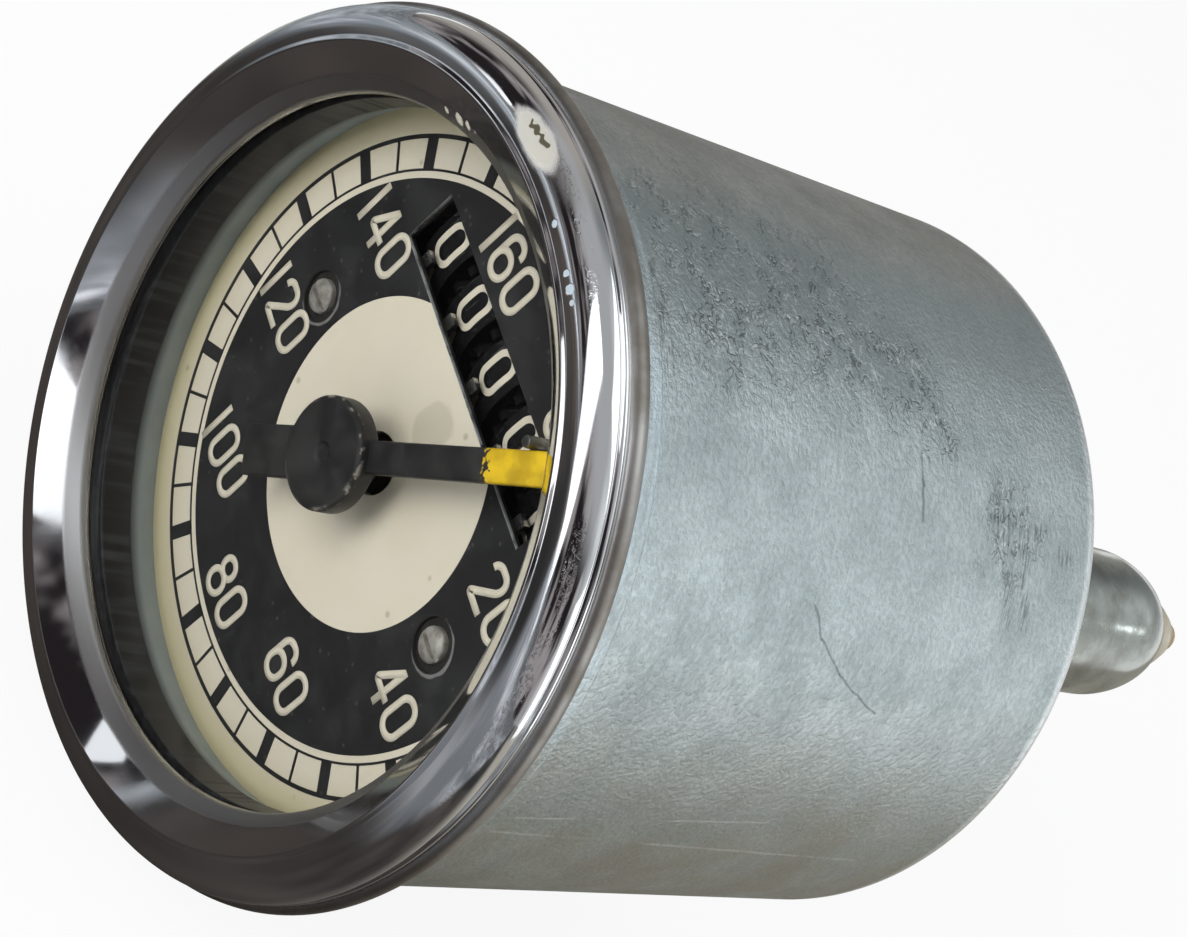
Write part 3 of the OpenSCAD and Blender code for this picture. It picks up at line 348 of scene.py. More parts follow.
class Finish(Nodes):
    """A material with a Principled shader and the tone that is being built up for it."""

    def __init__(self, name):
        self.made = bpy.data.materials.new(name)
        self.made.use_nodes = True
        super().__init__(self.made.node_tree)
        self.shader = self.put("BsdfPrincipled")
        self.output = self.put("OutputMaterial", {"Surface": self.shader.outputs[0]})
        self.place = self.put("TexCoord").outputs["Object"]
        self.tone = None

    def constant(self, key, value):
        self.shader.inputs[key].default_value = value

    def feed(self, key, value):
        self.tree.links.new(value, self.shader.inputs[key])

    def tint(self, mask, shade, amount=None):
        """Lays a shade over the tone where a mask shows."""
        factor = mask if amount is None else self.times(mask, amount)
        self.tone = self.mix(factor, self.tone, shade)

    def level(self, mask, first, second):
        """A value that goes from the first to the second with a mask."""
        return self.ramp(mask, 0.0, 1.0, first, second)

    def surface(self, rough):
        """Ends the build-up with the tone and a roughness."""
        self.feed("Base Color", self.tone)
        self.feed("Roughness", rough)

    def bump(self, height, strength, distance):
        node = self.put("Bump", {"Strength": strength, "Distance": distance, "Height": height})
        self.feed("Normal", node.outputs[0])

    def around(self):
        """Each point's clock angle, depth and distance from the dial axis."""
        x, y, z = self.axes(self.place)
        return self.calc("ARCTAN2", x, z), y, self.vector("LENGTH", self.joined(x, 0.0, z))

    def unrolled(self, clock, step):
        """A turned surface laid flat, its seam underneath: arc length across, step up."""
        return self.joined(self.times(clock, CASE_R * MM), step)

    def sector(self, clock, start, end):
        return self.ramp(clock, math.radians(start), math.radians(end))

    def mottle(self, scale, detail, low, high, over=None):
        return self.effect("mottle", self.place if over is None else over,
                           Scale=scale, Detail=detail, Low=low, High=high)

    def streaks(self, over, scale, low, high):
        return self.effect("streaks", over, Scale=scale, Low=low, High=high)

    def worms(self, over, scale, width):
        return self.effect("worms", over, Scale=scale, Width=width)

    def specks(self, scale, size, share):
        return self.effect("specks", self.place, Scale=scale, Size=size, Share=share)

    def spot(self, over, centre, radius, ragged, scale, core=0.8):
        """A patch whose radius and raggedness are in millimetres."""
        return self.effect("spot", over, Centre=centre, Radius=radius * MM, Ragged=ragged * MM,
                           Scale=scale, Core=core)

    def line(self, over, start, end, width, waver):
        """A line between two unrolled places, its width and waver in millimetres."""
        return self.effect("line", over, From=unrolled_point(*start), To=unrolled_point(*end),
                           Width=width * MM, Waver=waver * MM)


def unrolled_point(clock, step):
    """Where a clock angle and a step in millimetres fall on a surface laid flat."""
    return (math.radians(clock) * CASE_R * MM, step * MM, 0)


def ring_point(radius, depth, clock):
    """A point at a clock angle on a ring about the dial axis, in metres."""
    angle = math.radians(clock)
    return (radius * math.sin(angle) * MM, depth * MM, radius * math.cos(angle) * MM)


def zinc_case(f):
    f.constant("Metallic", 1.0)
    clock, depth, _ = f.around()
    flat = f.unrolled(clock, depth)
    clouds = f.mottle(130, 9, 0.2, 0.8)
    grain = f.mottle(1700, 4, 0.3, 0.7)
    f.tone = f.mix(clouds, colours().zinc_dark, colours().zinc_light)
    f.tint(grain, (0.27, 0.295, 0.295), 0.35)
    f.tint(f.streaks(flat, (260, 2600, 1), 0.52, 0.78), (0.62, 0.65, 0.64), 0.3)
    etched = f.most(*[f.spot(flat, unrolled_point(at, step), radius, radius * 1.5, 90, 0.2)
                      for at, step, radius in ETCHED_ZONES])
    worms = f.times(f.worms(flat, (760, 900, 1), 0.06), f.plus(f.times(etched, 0.85), 0.13))
    f.tint(etched, (0.19, 0.23, 0.245), 0.32)
    f.tint(worms, (0.07, 0.085, 0.085), 0.65)
    flecks = f.times(f.worms(flat, (700, 820, 1), 0.04), f.plus(f.times(etched, 0.5), 0.15))
    f.tint(flecks, (0.74, 0.77, 0.77))
    # Painted reflection: warm mottled patches on the case's low side and top
    reflection_patches = f.plus(f.times(f.mottle(110, 6, 0.38, 0.62), 0.4), 0.35)
    top = f.sector(clock, -2, -30)
    f.tint(f.times(f.most(f.sector(clock, 50, 100), top), reflection_patches), (0.37, 0.345, 0.29))
    # Painted shade: the top of the case is darker
    f.tint(top, (0.20, 0.20, 0.185), 0.55)
    # Painted highlight: pale bluish streaks on the raised band just behind the bezel
    painted_band_highlight = f.times(f.ramp(depth, 0.0046, 0.0034), f.streaks(flat, (70, 900, 1), 0.4, 0.65))
    f.tint(painted_band_highlight, (0.62, 0.72, 0.78), 0.6)
    hatch = f.streaks(flat, (420, 3300, 1), 0.44, 0.62)
    for start, end, width in DARK_MARKS:
        mark = f.line(flat, start, end, width, 1.2)
        f.tint(f.times(mark, hatch) if width > HATCHED_WIDTH else mark, (0.075, 0.085, 0.09), 0.55)
    broken = f.streaks(flat, (40, 160, 1), 0.35, 0.6)
    for start, end, width in PALE_MARKS:
        f.tint(f.times(f.line(flat, start, end, width, 0.3), broken), (0.75, 0.76, 0.74), 0.6)
    # Painted highlight: a pale line along the rounded rear edge, also a little less rough
    rim = f.ramp(depth, 0.0697, 0.0708)
    f.tint(rim, (0.88, 0.9, 0.9), 0.75)
    f.bump(f.minus(f.times(grain, 0.5), worms), 0.7, 0.00013)
    f.surface(f.minus(f.plus(f.level(clouds, 0.48, 0.38), f.times(grain, 0.08)), f.times(rim, 0.15)))


def chrome(f):
    f.constant("Metallic", 1.0)
    clock, depth, radius = f.around()
    step = f.plus(radius, depth)
    face = f.unrolled(clock, step)
    lip = f.times(f.ramp(radius, 0.0356, 0.0350), f.ramp(depth, -0.0022, -0.0026))
    f.tone = colours().chrome
    f.tint(lip, (0.40, 0.39, 0.375), 0.6)
    tarnish = f.plus(f.times(f.mottle(130, 6, 0.3, 0.66), 0.3), 0.68)
    worn = f.times(f.ramp(depth, -0.00245, -0.0021), tarnish)
    f.tint(worn, (0.24, 0.215, 0.185))
    side = f.most(f.times(f.sector(clock, -6, 0), f.sector(clock, 20, 10)),
                  f.times(f.sector(clock, 40, 50), f.sector(clock, 85, 60)))
    outer = f.times(f.ramp(step, 0.0352, 0.0359), f.ramp(step, 0.0373, 0.0366))
    pits = f.times(f.mottle(2300, 3, 0.5, 0.62, face), f.mottle(260, 3, 0.42, 0.58, face))
    pitted = f.times(pits, side, outer)
    f.tint(pitted, (0.62, 0.61, 0.59), 0.8)
    halved = f.vector("MULTIPLY", face, (0.5, 1, 1))
    peel = f.spot(halved, unrolled_point(-6.4 / 2, 34.9), 2.3, 1.7, 420, 0.5)
    haze = f.spot(halved, unrolled_point(1.0 / 2, 35.6), 2.6, 1.6, 300, 0.0)
    f.tint(haze, (0.45, 0.44, 0.42), 0.55)
    f.tint(peel, (0.49, 0.48, 0.43))
    for number, (start, end) in enumerate(zip(SQUIGGLE, SQUIGGLE[1:])):
        scratch = f.line(face, start, end, 0.24 + 0.15 * (number % 3), 1.6)
        f.tint(f.ramp(scratch, 0.1, 0.5), (0.085, 0.078, 0.05))
    chips = f.most(*[f.spot(face, unrolled_point(at, out), size, 0.5, 1300, 0.6) for at, out, size in CHIPS])
    f.tint(chips, (0.43, 0.51, 0.58))
    scabs = f.most(*[f.spot(f.place, ring_point(out, -4.0, at), size, 0.9, 900, 0.6)
                     for at, out, size in SCABS])
    f.tint(scabs, (0.52, 0.48, 0.36), 0.8)
    rough = f.level(f.mottle(110, 5, 0.4, 0.75), 0.05, 0.12)
    for mask, dull in ((lip, 0.4), (worn, 0.55), (peel, 0.62), (haze, 0.3), (pitted, 0.4), (chips, 0.6),
                       (scabs, 0.6)):
        rough = f.most(rough, f.times(mask, dull))
    f.feed("Metallic", f.level(f.most(peel, chips, scabs), 1.0, 0.15))
    f.bump(f.plus(pitted, peel, chips, scabs), 0.25, -0.00008)
    f.surface(rough)


def two_tone(f, mask, first, second, rough):
    """A tone and a roughness that go from the first to the second with a mask."""
    f.tone = f.mix(mask, first, second)
    f.surface(f.level(mask, *rough))


def clouded(f, clouds, *tones):
    """A finish of two tones in clouds."""
    two_tone(f, f.mottle(*clouds), *tones)


def scuffed(f, scuffs, *tones):
    """Paint of two tones in streaks."""
    two_tone(f, f.streaks(f.place, *scuffs), *tones)


def metal(f, dull, bright, rough, scale, grain=None, grain_height=0.00003, metallic=1.0):
    """Cloudy bare or plated metal with a fine grain, by default eight times finer than its clouds."""
    f.constant("Metallic", metallic)
    f.bump(f.mottle(grain or scale * 8, 2, 0.3, 0.7), 0.1, grain_height)
    clouded(f, (scale, 5, 0.35, 0.65), dull, bright, rough)


def brass(f):
    red, green, blue = colours().brass[:3]
    metal(f, (red * 0.6, green * 0.55, blue * 0.6), (red, green, blue), (0.45, 0.28), 300)


def clear_glass(f):
    f.constant("Base Color", (0.8, 0.8, 0.8, 1))
    f.constant("Metallic", 1.0)
    f.feed("Roughness", f.level(f.mottle(70, 4, 0.4, 0.8), 0.02, 0.07))
    through = f.put("BsdfTransparent", {"Color": (0.985, 0.99, 0.985)})
    outside = f.minus(1.0, f.put("NewGeometry").outputs["Backfacing"])
    gloss = f.times(f.put("Fresnel", {"IOR": 1.45}).outputs[0], outside)
    both = f.put("MixShader", {0: gloss, 1: through.outputs[0], 2: f.shader.outputs[0]})
    f.tree.links.new(both.outputs[0], f.output.inputs["Surface"])


def cream_insulator(f):
    clouded(f, (500, 4, 0.3, 0.7), colours().insulator, (0.5, 0.44, 0.33), (0.35, 0.55))


def frosted_plastic(f):
    f.constant("Subsurface Weight", 0.2)
    f.constant("Subsurface Scale", 0.003)
    clouds = f.mottle(150, 4, 0.3, 0.7)
    f.tone = colours().frosted
    f.tint(clouds, (0.24, 0.28, 0.30), 0.4)
    depth = f.axes(f.place)[1]
    # Painted shade: darker towards the front, where the ring sits under the black shade ring
    f.tint(f.ramp(depth, (SHADE_REAR + 1.6) * MM, SHADE_REAR * MM), (0.10, 0.12, 0.13))
    f.surface(f.level(clouds, 0.4, 0.55))


def dial_enamel(f):
    x, y, z = f.axes(f.place)
    flat = f.joined(x, 0.0, z)
    clouds = f.mottle(120, 5, 0.35, 0.7)
    f.tone = colours().cream
    # Yellowed enamel towards the dial's edge, darkened further as painted shade under the rings
    f.tint(f.ramp(f.vector("LENGTH", flat), 0.0300, 0.0352), colours().aged_cream, 0.92)
    f.tint(clouds, (0.52, 0.46, 0.34), 0.25)
    f.tint(f.spot(f.place, (2 * MM, DIAL_FRONT * MM, 8 * MM), 3.4, 5, 180), (0.3, 0.27, 0.2), 0.35)
    f.tint(f.specks(420, 0.2, 0.12), (0.25, 0.2, 0.12), 0.5)
    up = f.minus(z, WINDOW_MIDDLE * MM)
    across, over = [f.below(f.calc("ABSOLUTE", away), (size / 2 + 0.04) * MM)
                    for away, size in ((x, WINDOW_WIDTH), (up, WINDOW_HEIGHT))]
    front_edge = f.ramp(y, (DIAL_FRONT + 0.42) * MM, (DIAL_FRONT + 0.3) * MM)
    worn = f.times(f.mottle(500, 4, 0.3, 0.55), front_edge)
    bare = f.most(f.times(worn, f.below(up, -0.0033)), f.times(worn, f.below(x, -0.0179), 0.6))
    f.tint(f.times(across, over), f.mix(bare, (0.012, 0.012, 0.013), (0.36, 0.38, 0.39)))
    for side in SIDES:
        away = f.vector("DISTANCE", flat, (side * SCREW_X * MM, 0, 0))
        f.tint(f.below(away, 2.82 * MM), (0.02, 0.019, 0.018))
    f.surface(f.level(clouds, 0.38, 0.55))


def print_black(f):
    haze = f.mottle(230, 6, 0.4, 0.75)
    f.tone = colours().print_black
    f.tint(haze, (0.036, 0.036, 0.037), 0.6)
    f.tint(f.specks(1100, 0.3, 0.16), (0.12, 0.115, 0.1), 0.4)
    for side in SIDES:
        seat = ((side * SCREW_X + 0.25) * MM, DIAL_FRONT * MM, 0)
        f.tint(f.spot(f.place, seat, 2.95, 0.5, 900, 0.95), (0.24, 0.24, 0.235), 0.6)
    f.surface(f.level(haze, 0.42, 0.62))


def needle_black(f):
    x, y, z = f.axes(f.place)
    angle = math.radians(ZERO_CLOCK)
    reach = f.plus(f.times(x, math.sin(angle)), f.times(z, math.cos(angle)))
    ragged = f.times(f.minus(f.noise(f.place, 1500, 4), 0.5), 0.0036)
    clouds = f.mottle(300, 4, 0.35, 0.7)
    f.tone = f.mix(clouds, colours().needle_black, (0.03, 0.029, 0.029))
    radius = f.vector("LENGTH", f.joined(x, 0.0, z))
    rim = f.times(f.ramp(radius, 0.0051, 0.0055), f.ramp(radius, 0.0059, 0.0057))
    worn = f.times(rim, f.ramp(y, 0.0013, 0.0007), f.mottle(800, 4, 0.52, 0.6))
    f.tint(worn, (0.3, 0.26, 0.22), 0.8)
    yellow = f.mix(clouds, colours().tip_yellow, (0.70, 0.46, 0.004))
    f.tint(f.ramp(f.plus(reach, ragged), 0.0216, 0.0218), yellow)
    f.surface(f.level(clouds, 0.42, 0.55))


# Each finish: the function that makes it, and what that is given
FINISHES = {
    "zinc_case": (zinc_case,),
    "zinc_fitting": (metal, (0.27, 0.275, 0.25), (0.50, 0.53, 0.50), (0.28, 0.15), 160, 1400, 0.00004),
    "chrome": (chrome,),
    "clear_glass": (clear_glass,),
    "black_rubber": (clouded, (1200, 3, 0.3, 0.7), (0.012, 0.012, 0.012), (0.03, 0.03, 0.03), (0.6, 0.8)),
    "black_paint": (scuffed, ((900, 60, 900), 0.45, 0.75), (0.012, 0.0125, 0.0135), (0.045, 0.047, 0.05),
                    (0.35, 0.6)),
    "frosted_plastic": (frosted_plastic,),
    "dial_enamel": (dial_enamel,),
    "print_black": (print_black,),
    "print_cream": (clouded, (400, 4, 0.3, 0.75), (0.60, 0.55, 0.45), (0.54, 0.49, 0.395), (0.45, 0.6)),
    "needle_black": (needle_black,),
    "wheel_black": (scuffed, ((2500, 300, 300), 0.6, 0.8), (0.008, 0.008, 0.009), (0.05, 0.05, 0.05),
                    (0.22, 0.5)),
    "cream_insulator": (cream_insulator,),
    "steel": (metal, (0.36, 0.36, 0.355), (0.58, 0.58, 0.57), (0.4, 0.24), 380),
    "screw_steel": (metal, (0.30, 0.28, 0.25), (0.52, 0.50, 0.46), (0.5, 0.35), 700, None, 0.00003, 0.55),
    "brass": (brass,),
    "aluminium": (metal, (0.62, 0.63, 0.64), (0.78, 0.79, 0.8), (0.4, 0.25), 260),
    "magnet_iron": (metal, (0.12, 0.12, 0.125), (0.22, 0.22, 0.23), (0.6, 0.4), 300),
}
MADE = {}


def finish(name):
    """The finish of that name, built once."""
    if name not in MADE:
        maker, *values = FINISHES[name]
        building = Finish(name + "_finish")
        maker(building, *values)
        MADE[name] = building.made
    return MADE[name]


def turn(bm, angle, axis):
    """Turns a mesh about an axis through the origin."""
    bmesh.ops.rotate(bm, verts=bm.verts[:], cent=(0, 0, 0), matrix=Matrix.Rotation(angle, 3, axis))


def shift(bm, x, y, z):
    """Moves a mesh by millimetres."""
    bmesh.ops.translate(bm, vec=(x * MM, y * MM, z * MM), verts=bm.verts[:])


def lift(bm, extruded, along, depth):
    """Moves the new vertices of an extrusion by millimetres along an axis and sets the normals."""
    new = [item for item in extruded["geom"] if isinstance(item, bmesh.types.BMVert)]
    bmesh.ops.translate(bm, vec=Vector(along) * depth * MM, verts=new)
    bmesh.ops.recalc_face_normals(bm, faces=bm.faces[:])


def ease(bm, kind, geom, offset, steps):
    """Bevels edges or vertices by millimetres."""
    bmesh.ops.bevel(bm, geom=geom, offset=offset * MM, offset_type="OFFSET", segments=steps, profile=0.5,
                    affect=kind, material=-1)


def wire(bm, points, closed, round_steps=6):
    """Adds a wire through (x, y, rounding) points in millimetres at z 0 and rounds its corners."""
    verts = [bm.verts.new((p[0] * MM, p[1] * MM, 0)) for p in points]
    for pair in zip(verts, verts[1:] + (verts[:1] if closed else [])):
        bm.edges.new(pair)
    for vert, point in zip(verts, points):
        if len(point) > 2 and point[2]:
            ease(bm, "VERTICES", [vert], point[2], round_steps)


def lathe(points, closed=True, steps=192, at=(0, 0), round_steps=6):
    """Turns a profile of (radius, depth, rounding) points about an axis along Y."""
    bm = bmesh.new()
    wire(bm, points, closed, round_steps)
    bmesh.ops.spin(bm, geom=bm.verts[:] + bm.edges[:], cent=(0, 0, 0), axis=(0, 1, 0),
                   dvec=(0, 0, 0), angle=TURN, steps=steps, use_merge=True)
    bmesh.ops.remove_doubles(bm, verts=bm.verts[:], dist=1e-7)
    bmesh.ops.recalc_face_normals(bm, faces=bm.faces[:])
    shift(bm, at[0], 0, at[1])
    return bm


def bar(points, at=(0, 0), steps=64):
    """Turns a profile that starts and ends on its axis."""
    return lathe(points, closed=False, steps=steps, at=at)


def punch(radius, at, steps):
    """A round tool through the dial plate."""
    return bar([(0, CUT_FRONT), (radius, CUT_FRONT), (radius, CUT_REAR), (0, CUT_REAR)], at, steps)


def thread(radius, depth, pitch, start, end, at=(0, 0), per_turn=48):
    """A helical ridge on a bar along Y, its crest at the radius."""
    bm = bmesh.new()
    root = radius - depth - 0.05
    corners = [(root, 0), (radius, pitch * 0.4), (radius, pitch * 0.5), (root, pitch * 0.9)]
    face = bm.faces.new([bm.verts.new((r * MM, (start + y) * MM, 0)) for r, y in corners])
    turns = (end - start) / pitch - 1
    steps = int(turns * per_turn)
    bmesh.ops.spin(bm, geom=face.verts[:] + face.edges[:] + [face], cent=(0, 0, 0), axis=(0, 1, 0),
                   dvec=(0, pitch / per_turn * MM, 0), angle=TURN * steps / per_turn, steps=steps)
    bmesh.ops.recalc_face_normals(bm, faces=bm.faces[:])
    shift(bm, at[0], 0, at[1])
    return bm


def hexagon(across, front, rear, at):
    """A hexagon bar along Y with bevelled edges."""
    bm = bmesh.new()
    bmesh.ops.create_circle(bm, cap_ends=True, segments=6, radius=across / math.sqrt(3) * MM)
    turn(bm, math.pi / 2, "X")
    lift(bm, bmesh.ops.extrude_face_region(bm, geom=bm.faces[:]), (0, 1, 0), rear - front)
    ease(bm, "EDGES", bm.edges[:], 0.25, 2)
    shift(bm, at[0], front, at[1])
    return bm


def plate(outline, front, rear, bevel=0.0):
    """A flat plate in the dial plane from an outline of (x, z) points, with bevelled edges."""
    bm = bmesh.new()
    face = bm.faces.new([bm.verts.new((x * MM, front * MM, z * MM)) for x, z in outline])
    lift(bm, bmesh.ops.extrude_face_region(bm, geom=[face]), (0, 1, 0), rear - front)
    if bevel:
        ease(bm, "EDGES", bm.edges[:], bevel, 3)
    return bm


def rectangle(width, height, x=0.0, z=0.0):
    return [(x - width / 2, z - height / 2), (x + width / 2, z - height / 2),
            (x + width / 2, z + height / 2), (x - width / 2, z + height / 2)]


def add(whole, part):
    """Moves one bmesh into another."""
    mesh = bpy.data.meshes.new("part")
    part.to_mesh(mesh)
    part.free()
    whole.from_mesh(mesh)
    bpy.data.meshes.remove(mesh)


def join(*parts):
    """One bmesh from several."""
    whole = bmesh.new()
    for part in parts:
        add(whole, part)
    return whole


def smooth(mesh):
    """Shades a mesh smooth, with sharp edges past an angle."""
    mesh.shade_smooth()
    mesh.set_sharp_from_angle(angle=SHARP)


def new_object(name, bm):
    mesh = bpy.data.meshes.new(name)
    bm.to_mesh(mesh)
    bm.free()
    smooth(mesh)
    obj = bpy.data.objects.new(name, mesh)
    bpy.context.scene.collection.objects.link(obj)
    return obj


def settle(obj):
    """Makes an object's modifiers part of its mesh."""
    graph = bpy.context.evaluated_depsgraph_get()
    mesh = bpy.data.meshes.new_from_object(obj.evaluated_get(graph))
    obj.modifiers.clear()
    obj.data = mesh
    mesh.name = obj.name


def cut(obj, *cutters):
    """Cuts the cutters' shapes out of an object and removes them."""
    for number, bm in enumerate(cutters):
        tool = new_object(f"{obj.name}_cutter_{number}", bm)
        cutting = obj.modifiers.new("cut", "BOOLEAN")
        cutting.operation = "DIFFERENCE"
        cutting.solver = "EXACT"
        cutting.object = tool
        settle(obj)
        bpy.data.objects.remove(tool)
    smooth(obj.data)


def place_piece(obj, look, *nodes, body="housing"):
    """Gives a piece its finish and body, and hides the nodes that it stands for."""
    obj.data.materials.clear()
    obj.data.materials.append(finish(look))
    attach(obj, body)
    if nodes:
        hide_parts(*nodes)


def turned_piece(name, points, look, node, **settings):
    place_piece(new_object(name, lathe(points, **settings)), look, node)


def slotted_screws(name, profile, places, slot, depths, look, node):
    """Turned screws with a straight slot across each head."""
    screws = new_object(name, join(*[bar(profile, at) for at in places]))
    cut(screws, *[plate(rectangle(*slot, *at), *depths) for at in places])
    place_piece(screws, look, node)


def nuts(name, across, rear, places, bore, steps, node):
    """Hexagon nuts on the case back, bored to a profile."""
    made = new_object(name, join(*[hexagon(across, CASE_REAR, rear, at) for at in places]))
    cut(made, *[bar(bore, at, steps) for at in places])
    place_piece(made, "zinc_fitting", node)


def pair(x):
    """Two places on the level of the axis, left and right of it."""
    return [(side * x, 0) for side in SIDES]


def on_circle(radius, clock):
    """A place at a clock angle on a circle in the dial plane, in millimetres."""
    angle = math.radians(clock)
    return radius * math.sin(angle), radius * math.cos(angle)


STOP_AT = on_circle(STOP_R, ZERO_CLOCK - STOP_BEFORE_ZERO)


class SPEEDOMETER_OT_case(bpy.types.Operator):
    """Deep-drawn case with its raised band, front flange and rounded back edge"""

    bl_idname = "speedometer.case"
    bl_label = "Case"

    def execute(self, context):
        hole, inner, floor = 9.66, 39.0, 71.8
        turned_piece("case_shell", [
            (inner, -1.9), (41.5, -1.9, 0.15), (41.5, -0.9, 0.1), (40.5, -0.9), (40.5, 3.6, 0.2),
            (CASE_R, 3.9, 0.2), (CASE_R, 40.0), (CASE_R, CASE_REAR, 2.5), (hole, CASE_REAR), (hole, floor),
            (inner, floor, 1.4), (inner, 40.0)], "zinc_case", "case", steps=256, round_steps=12)
        return {"FINISHED"}


class SPEEDOMETER_OT_bezel(bpy.types.Operator):
    """Chromed bezel with its lip, ridge, curved side, groove and rear bead"""

    bl_idname = "speedometer.bezel"
    bl_label = "Bezel"

    def execute(self, context):
        turned_piece("bezel_ring", [
            (33.9, -2.1), (33.9, -3.05, 0.3), (34.95, -4.05, 0.5), (38.0, -6.35, 0.22), (38.5, -6.03, 0.12),
            (41.6, -5.95, 2.35), (42.2, -3.42, 0.12), (41.85, -3.0, 0.08), (42.15, -2.8, 0.12),
            (42.25, -2.5, 0.12), (42.05, -2.3, 0.06), (42.6, -2.2, 0.25), (43.0, -1.7, 0.4),
            (43.0, -0.9, 0.5), (42.4, 0.0, 0.5), (40.65, 0.0), (40.65, -0.9), (41.6, -0.9), (41.6, -2.2),
            (41.2, -3.3, 0.4), (40.6, -4.5, 0.8), (38.5, -5.0), (37.7, -5.0), (35.2, -2.7), (35.2, -2.1)],
            "chrome", "bezel", steps=256, round_steps=10)
        return {"FINISHED"}


class SPEEDOMETER_OT_glass(bpy.types.Operator):
    """Flat glass behind the bezel's lip"""

    bl_idname = "speedometer.glass"
    bl_label = "Glass"

    def execute(self, context):
        turned_piece("lens", [(0, LENS_FRONT), (LENS_R, LENS_FRONT, 0.2), (LENS_R, LENS_REAR, 0.2),
                              (0, LENS_REAR)], "clear_glass", "lens_glass", closed=False)
        return {"FINISHED"}


class SPEEDOMETER_OT_rings(bpy.types.Operator):
    """Black shade ring behind the glass and the translucent ring round the dial"""

    bl_idname = "speedometer.rings"
    bl_label = "Rings"

    def execute(self, context):
        inner, sleeve, flange = 34.0, 35.0, 0.3
        turned_piece("shade", [
            (inner, LENS_REAR, 0.15), (RING_R, LENS_REAR), (RING_R, flange), (sleeve, flange, 0.1),
            (sleeve, SHADE_REAR), (inner, SHADE_REAR, 0.2)], "black_paint", "shade_ring")
        turned_piece("light_guide", [
            (34.1, SHADE_REAR, 0.15), (RING_R, SHADE_REAR), (RING_R, DIAL_FRONT), (35.4, DIAL_FRONT)],
            "frosted_plastic", "light_ring")
        return {"FINISHED"}


class SPEEDOMETER_OT_dial(bpy.types.Operator):
    """Enamelled dial plate with the counter window, screw seats and printed scale"""

    bl_idname = "speedometer.dial"
    bl_label = "Dial"

    def execute(self, context):
        self.front = DIAL_FRONT - sizes().paint / MM
        bore, seat = 3.1, DIAL_FRONT + 0.4
        dial = new_object("dial_plate", lathe([
            (bore, DIAL_FRONT, 0.1), (RING_R, DIAL_FRONT), (RING_R, DIAL_REAR), (bore, DIAL_REAR)]))
        seats = [bar([(0, CUT_FRONT), (2.75, CUT_FRONT), (2.6, seat), (0, seat)], at)
                 for at in pair(SCREW_X)]
        shanks = [punch(1.15, at, 32) for at in pair(SCREW_X)]
        cut(dial, self.window(0), *seats, *shanks, punch(0.63, STOP_AT, 24))
        place_piece(dial, "dial_enamel", "dial")

        band = new_object("dial_band", self.ring(16.39, 28.06, 0.01))
        cut(band, self.window(0.1), *[punch(2.78, at, 64) for at in pair(SCREW_X)], punch(0.66, STOP_AT, 24))
        place_piece(band, "print_black")

        rings = [self.ring(32.0, 32.45), self.ring(28.75, 29.0)]
        bars = [self.mark(fives) for fives in range(TOP_SPEED // 5 + 1)]
        place_piece(new_object("dial_scale", join(*rings, *bars)), "print_black")

        bm = bmesh.new()
        for text, centre in DIAL_NUMBERS.items():
            digits(bm, text, centre, self.front)
        numbers = new_object("dial_numbers", bm)
        strokes(numbers, sizes().numeral_stroke)
        place_piece(numbers, "print_cream")
        return {"FINISHED"}

    @staticmethod
    def window(margin):
        """A tool for the counter's window."""
        opening = rectangle(WINDOW_WIDTH + margin, WINDOW_HEIGHT + margin, z=WINDOW_MIDDLE)
        return plate(opening, CUT_FRONT, CUT_REAR)

    def ring(self, inner, outer, rounding=0.0):
        """A printed ring on the dial."""
        return lathe([(inner, self.front, rounding), (outer, self.front, rounding), (outer, DIAL_FRONT),
                      (inner, DIAL_FRONT)])

    def mark(self, fives):
        """A printed mark across the scale, broad at each ten."""
        width = sizes().line_width if fives % 2 else sizes().bar_width
        bm = plate(rectangle(width / MM, 3.1, z=30.5), self.front, DIAL_FRONT)
        turn(bm, math.radians(ZERO_CLOCK + fives * CLOCK_PER_TEN / 2), "Y")
        return bm


def digits(bm, text, centre, surface, stretch=1.0):
    """Adds upright walls along the centre lines of some digits, standing on a surface."""
    advances = [NARROW_ADVANCE.get(digit, ADVANCE) for digit in text]
    left = centre[0] - sum(advances) / 2
    for digit, advance in zip(text, advances):
        for layer, (closed, points) in enumerate(NUMERALS[digit]):
            part = bmesh.new()
            wire(part, [(x * stretch, z, r) for x, z, r in points], closed, 8)
            bmesh.ops.remove_doubles(part, verts=part.verts[:], dist=0.02 * MM)
            lift(part, bmesh.ops.extrude_edge_only(part, edges=part.edges[:]), (0, 0, 1), STROKE_RISE)
            turn(part, math.pi / 2, "X")
            shift(part, left + advance / 2, surface - 0.004 * layer, centre[1])
            add(bm, part)
        left += advance


def strokes(obj, width):
    """Thickens walls along centre lines to painted strokes."""
    thick = obj.modifiers.new("stroke", "SOLIDIFY")
    thick.thickness = width
    thick.offset = 0
    thick.use_even_offset = True
    settle(obj)


class SPEEDOMETER_OT_dial_fittings(bpy.types.Operator):
    """Slotted dial screws and the needle's stop pin"""

    bl_idname = "speedometer.dial_fittings"
    bl_label = "Dial screws and stop pin"

    def execute(self, context):
        head, under, end = DIAL_FRONT - 0.5, 7.5, 13.9
        slotted_screws("dial_screw_pair", [
            (0, head - 0.12), (1.0, head - 0.06, 0.3), (1.8, head + 0.3, 0.25), (1.8, under), (1.1, under),
            (1.1, end), (0, end)], pair(SCREW_X), (6.5, 0.55), (5.5, head + 0.45),
            "screw_steel", "dial_screws")
        turned_piece("needle_stop", [(0, 1.3), (0.6, 1.3, 0.2), (0.6, DIAL_REAR), (0, DIAL_REAR)],
                     "steel", "stop_pin", closed=False, steps=32, at=STOP_AT)
        return {"FINISHED"}


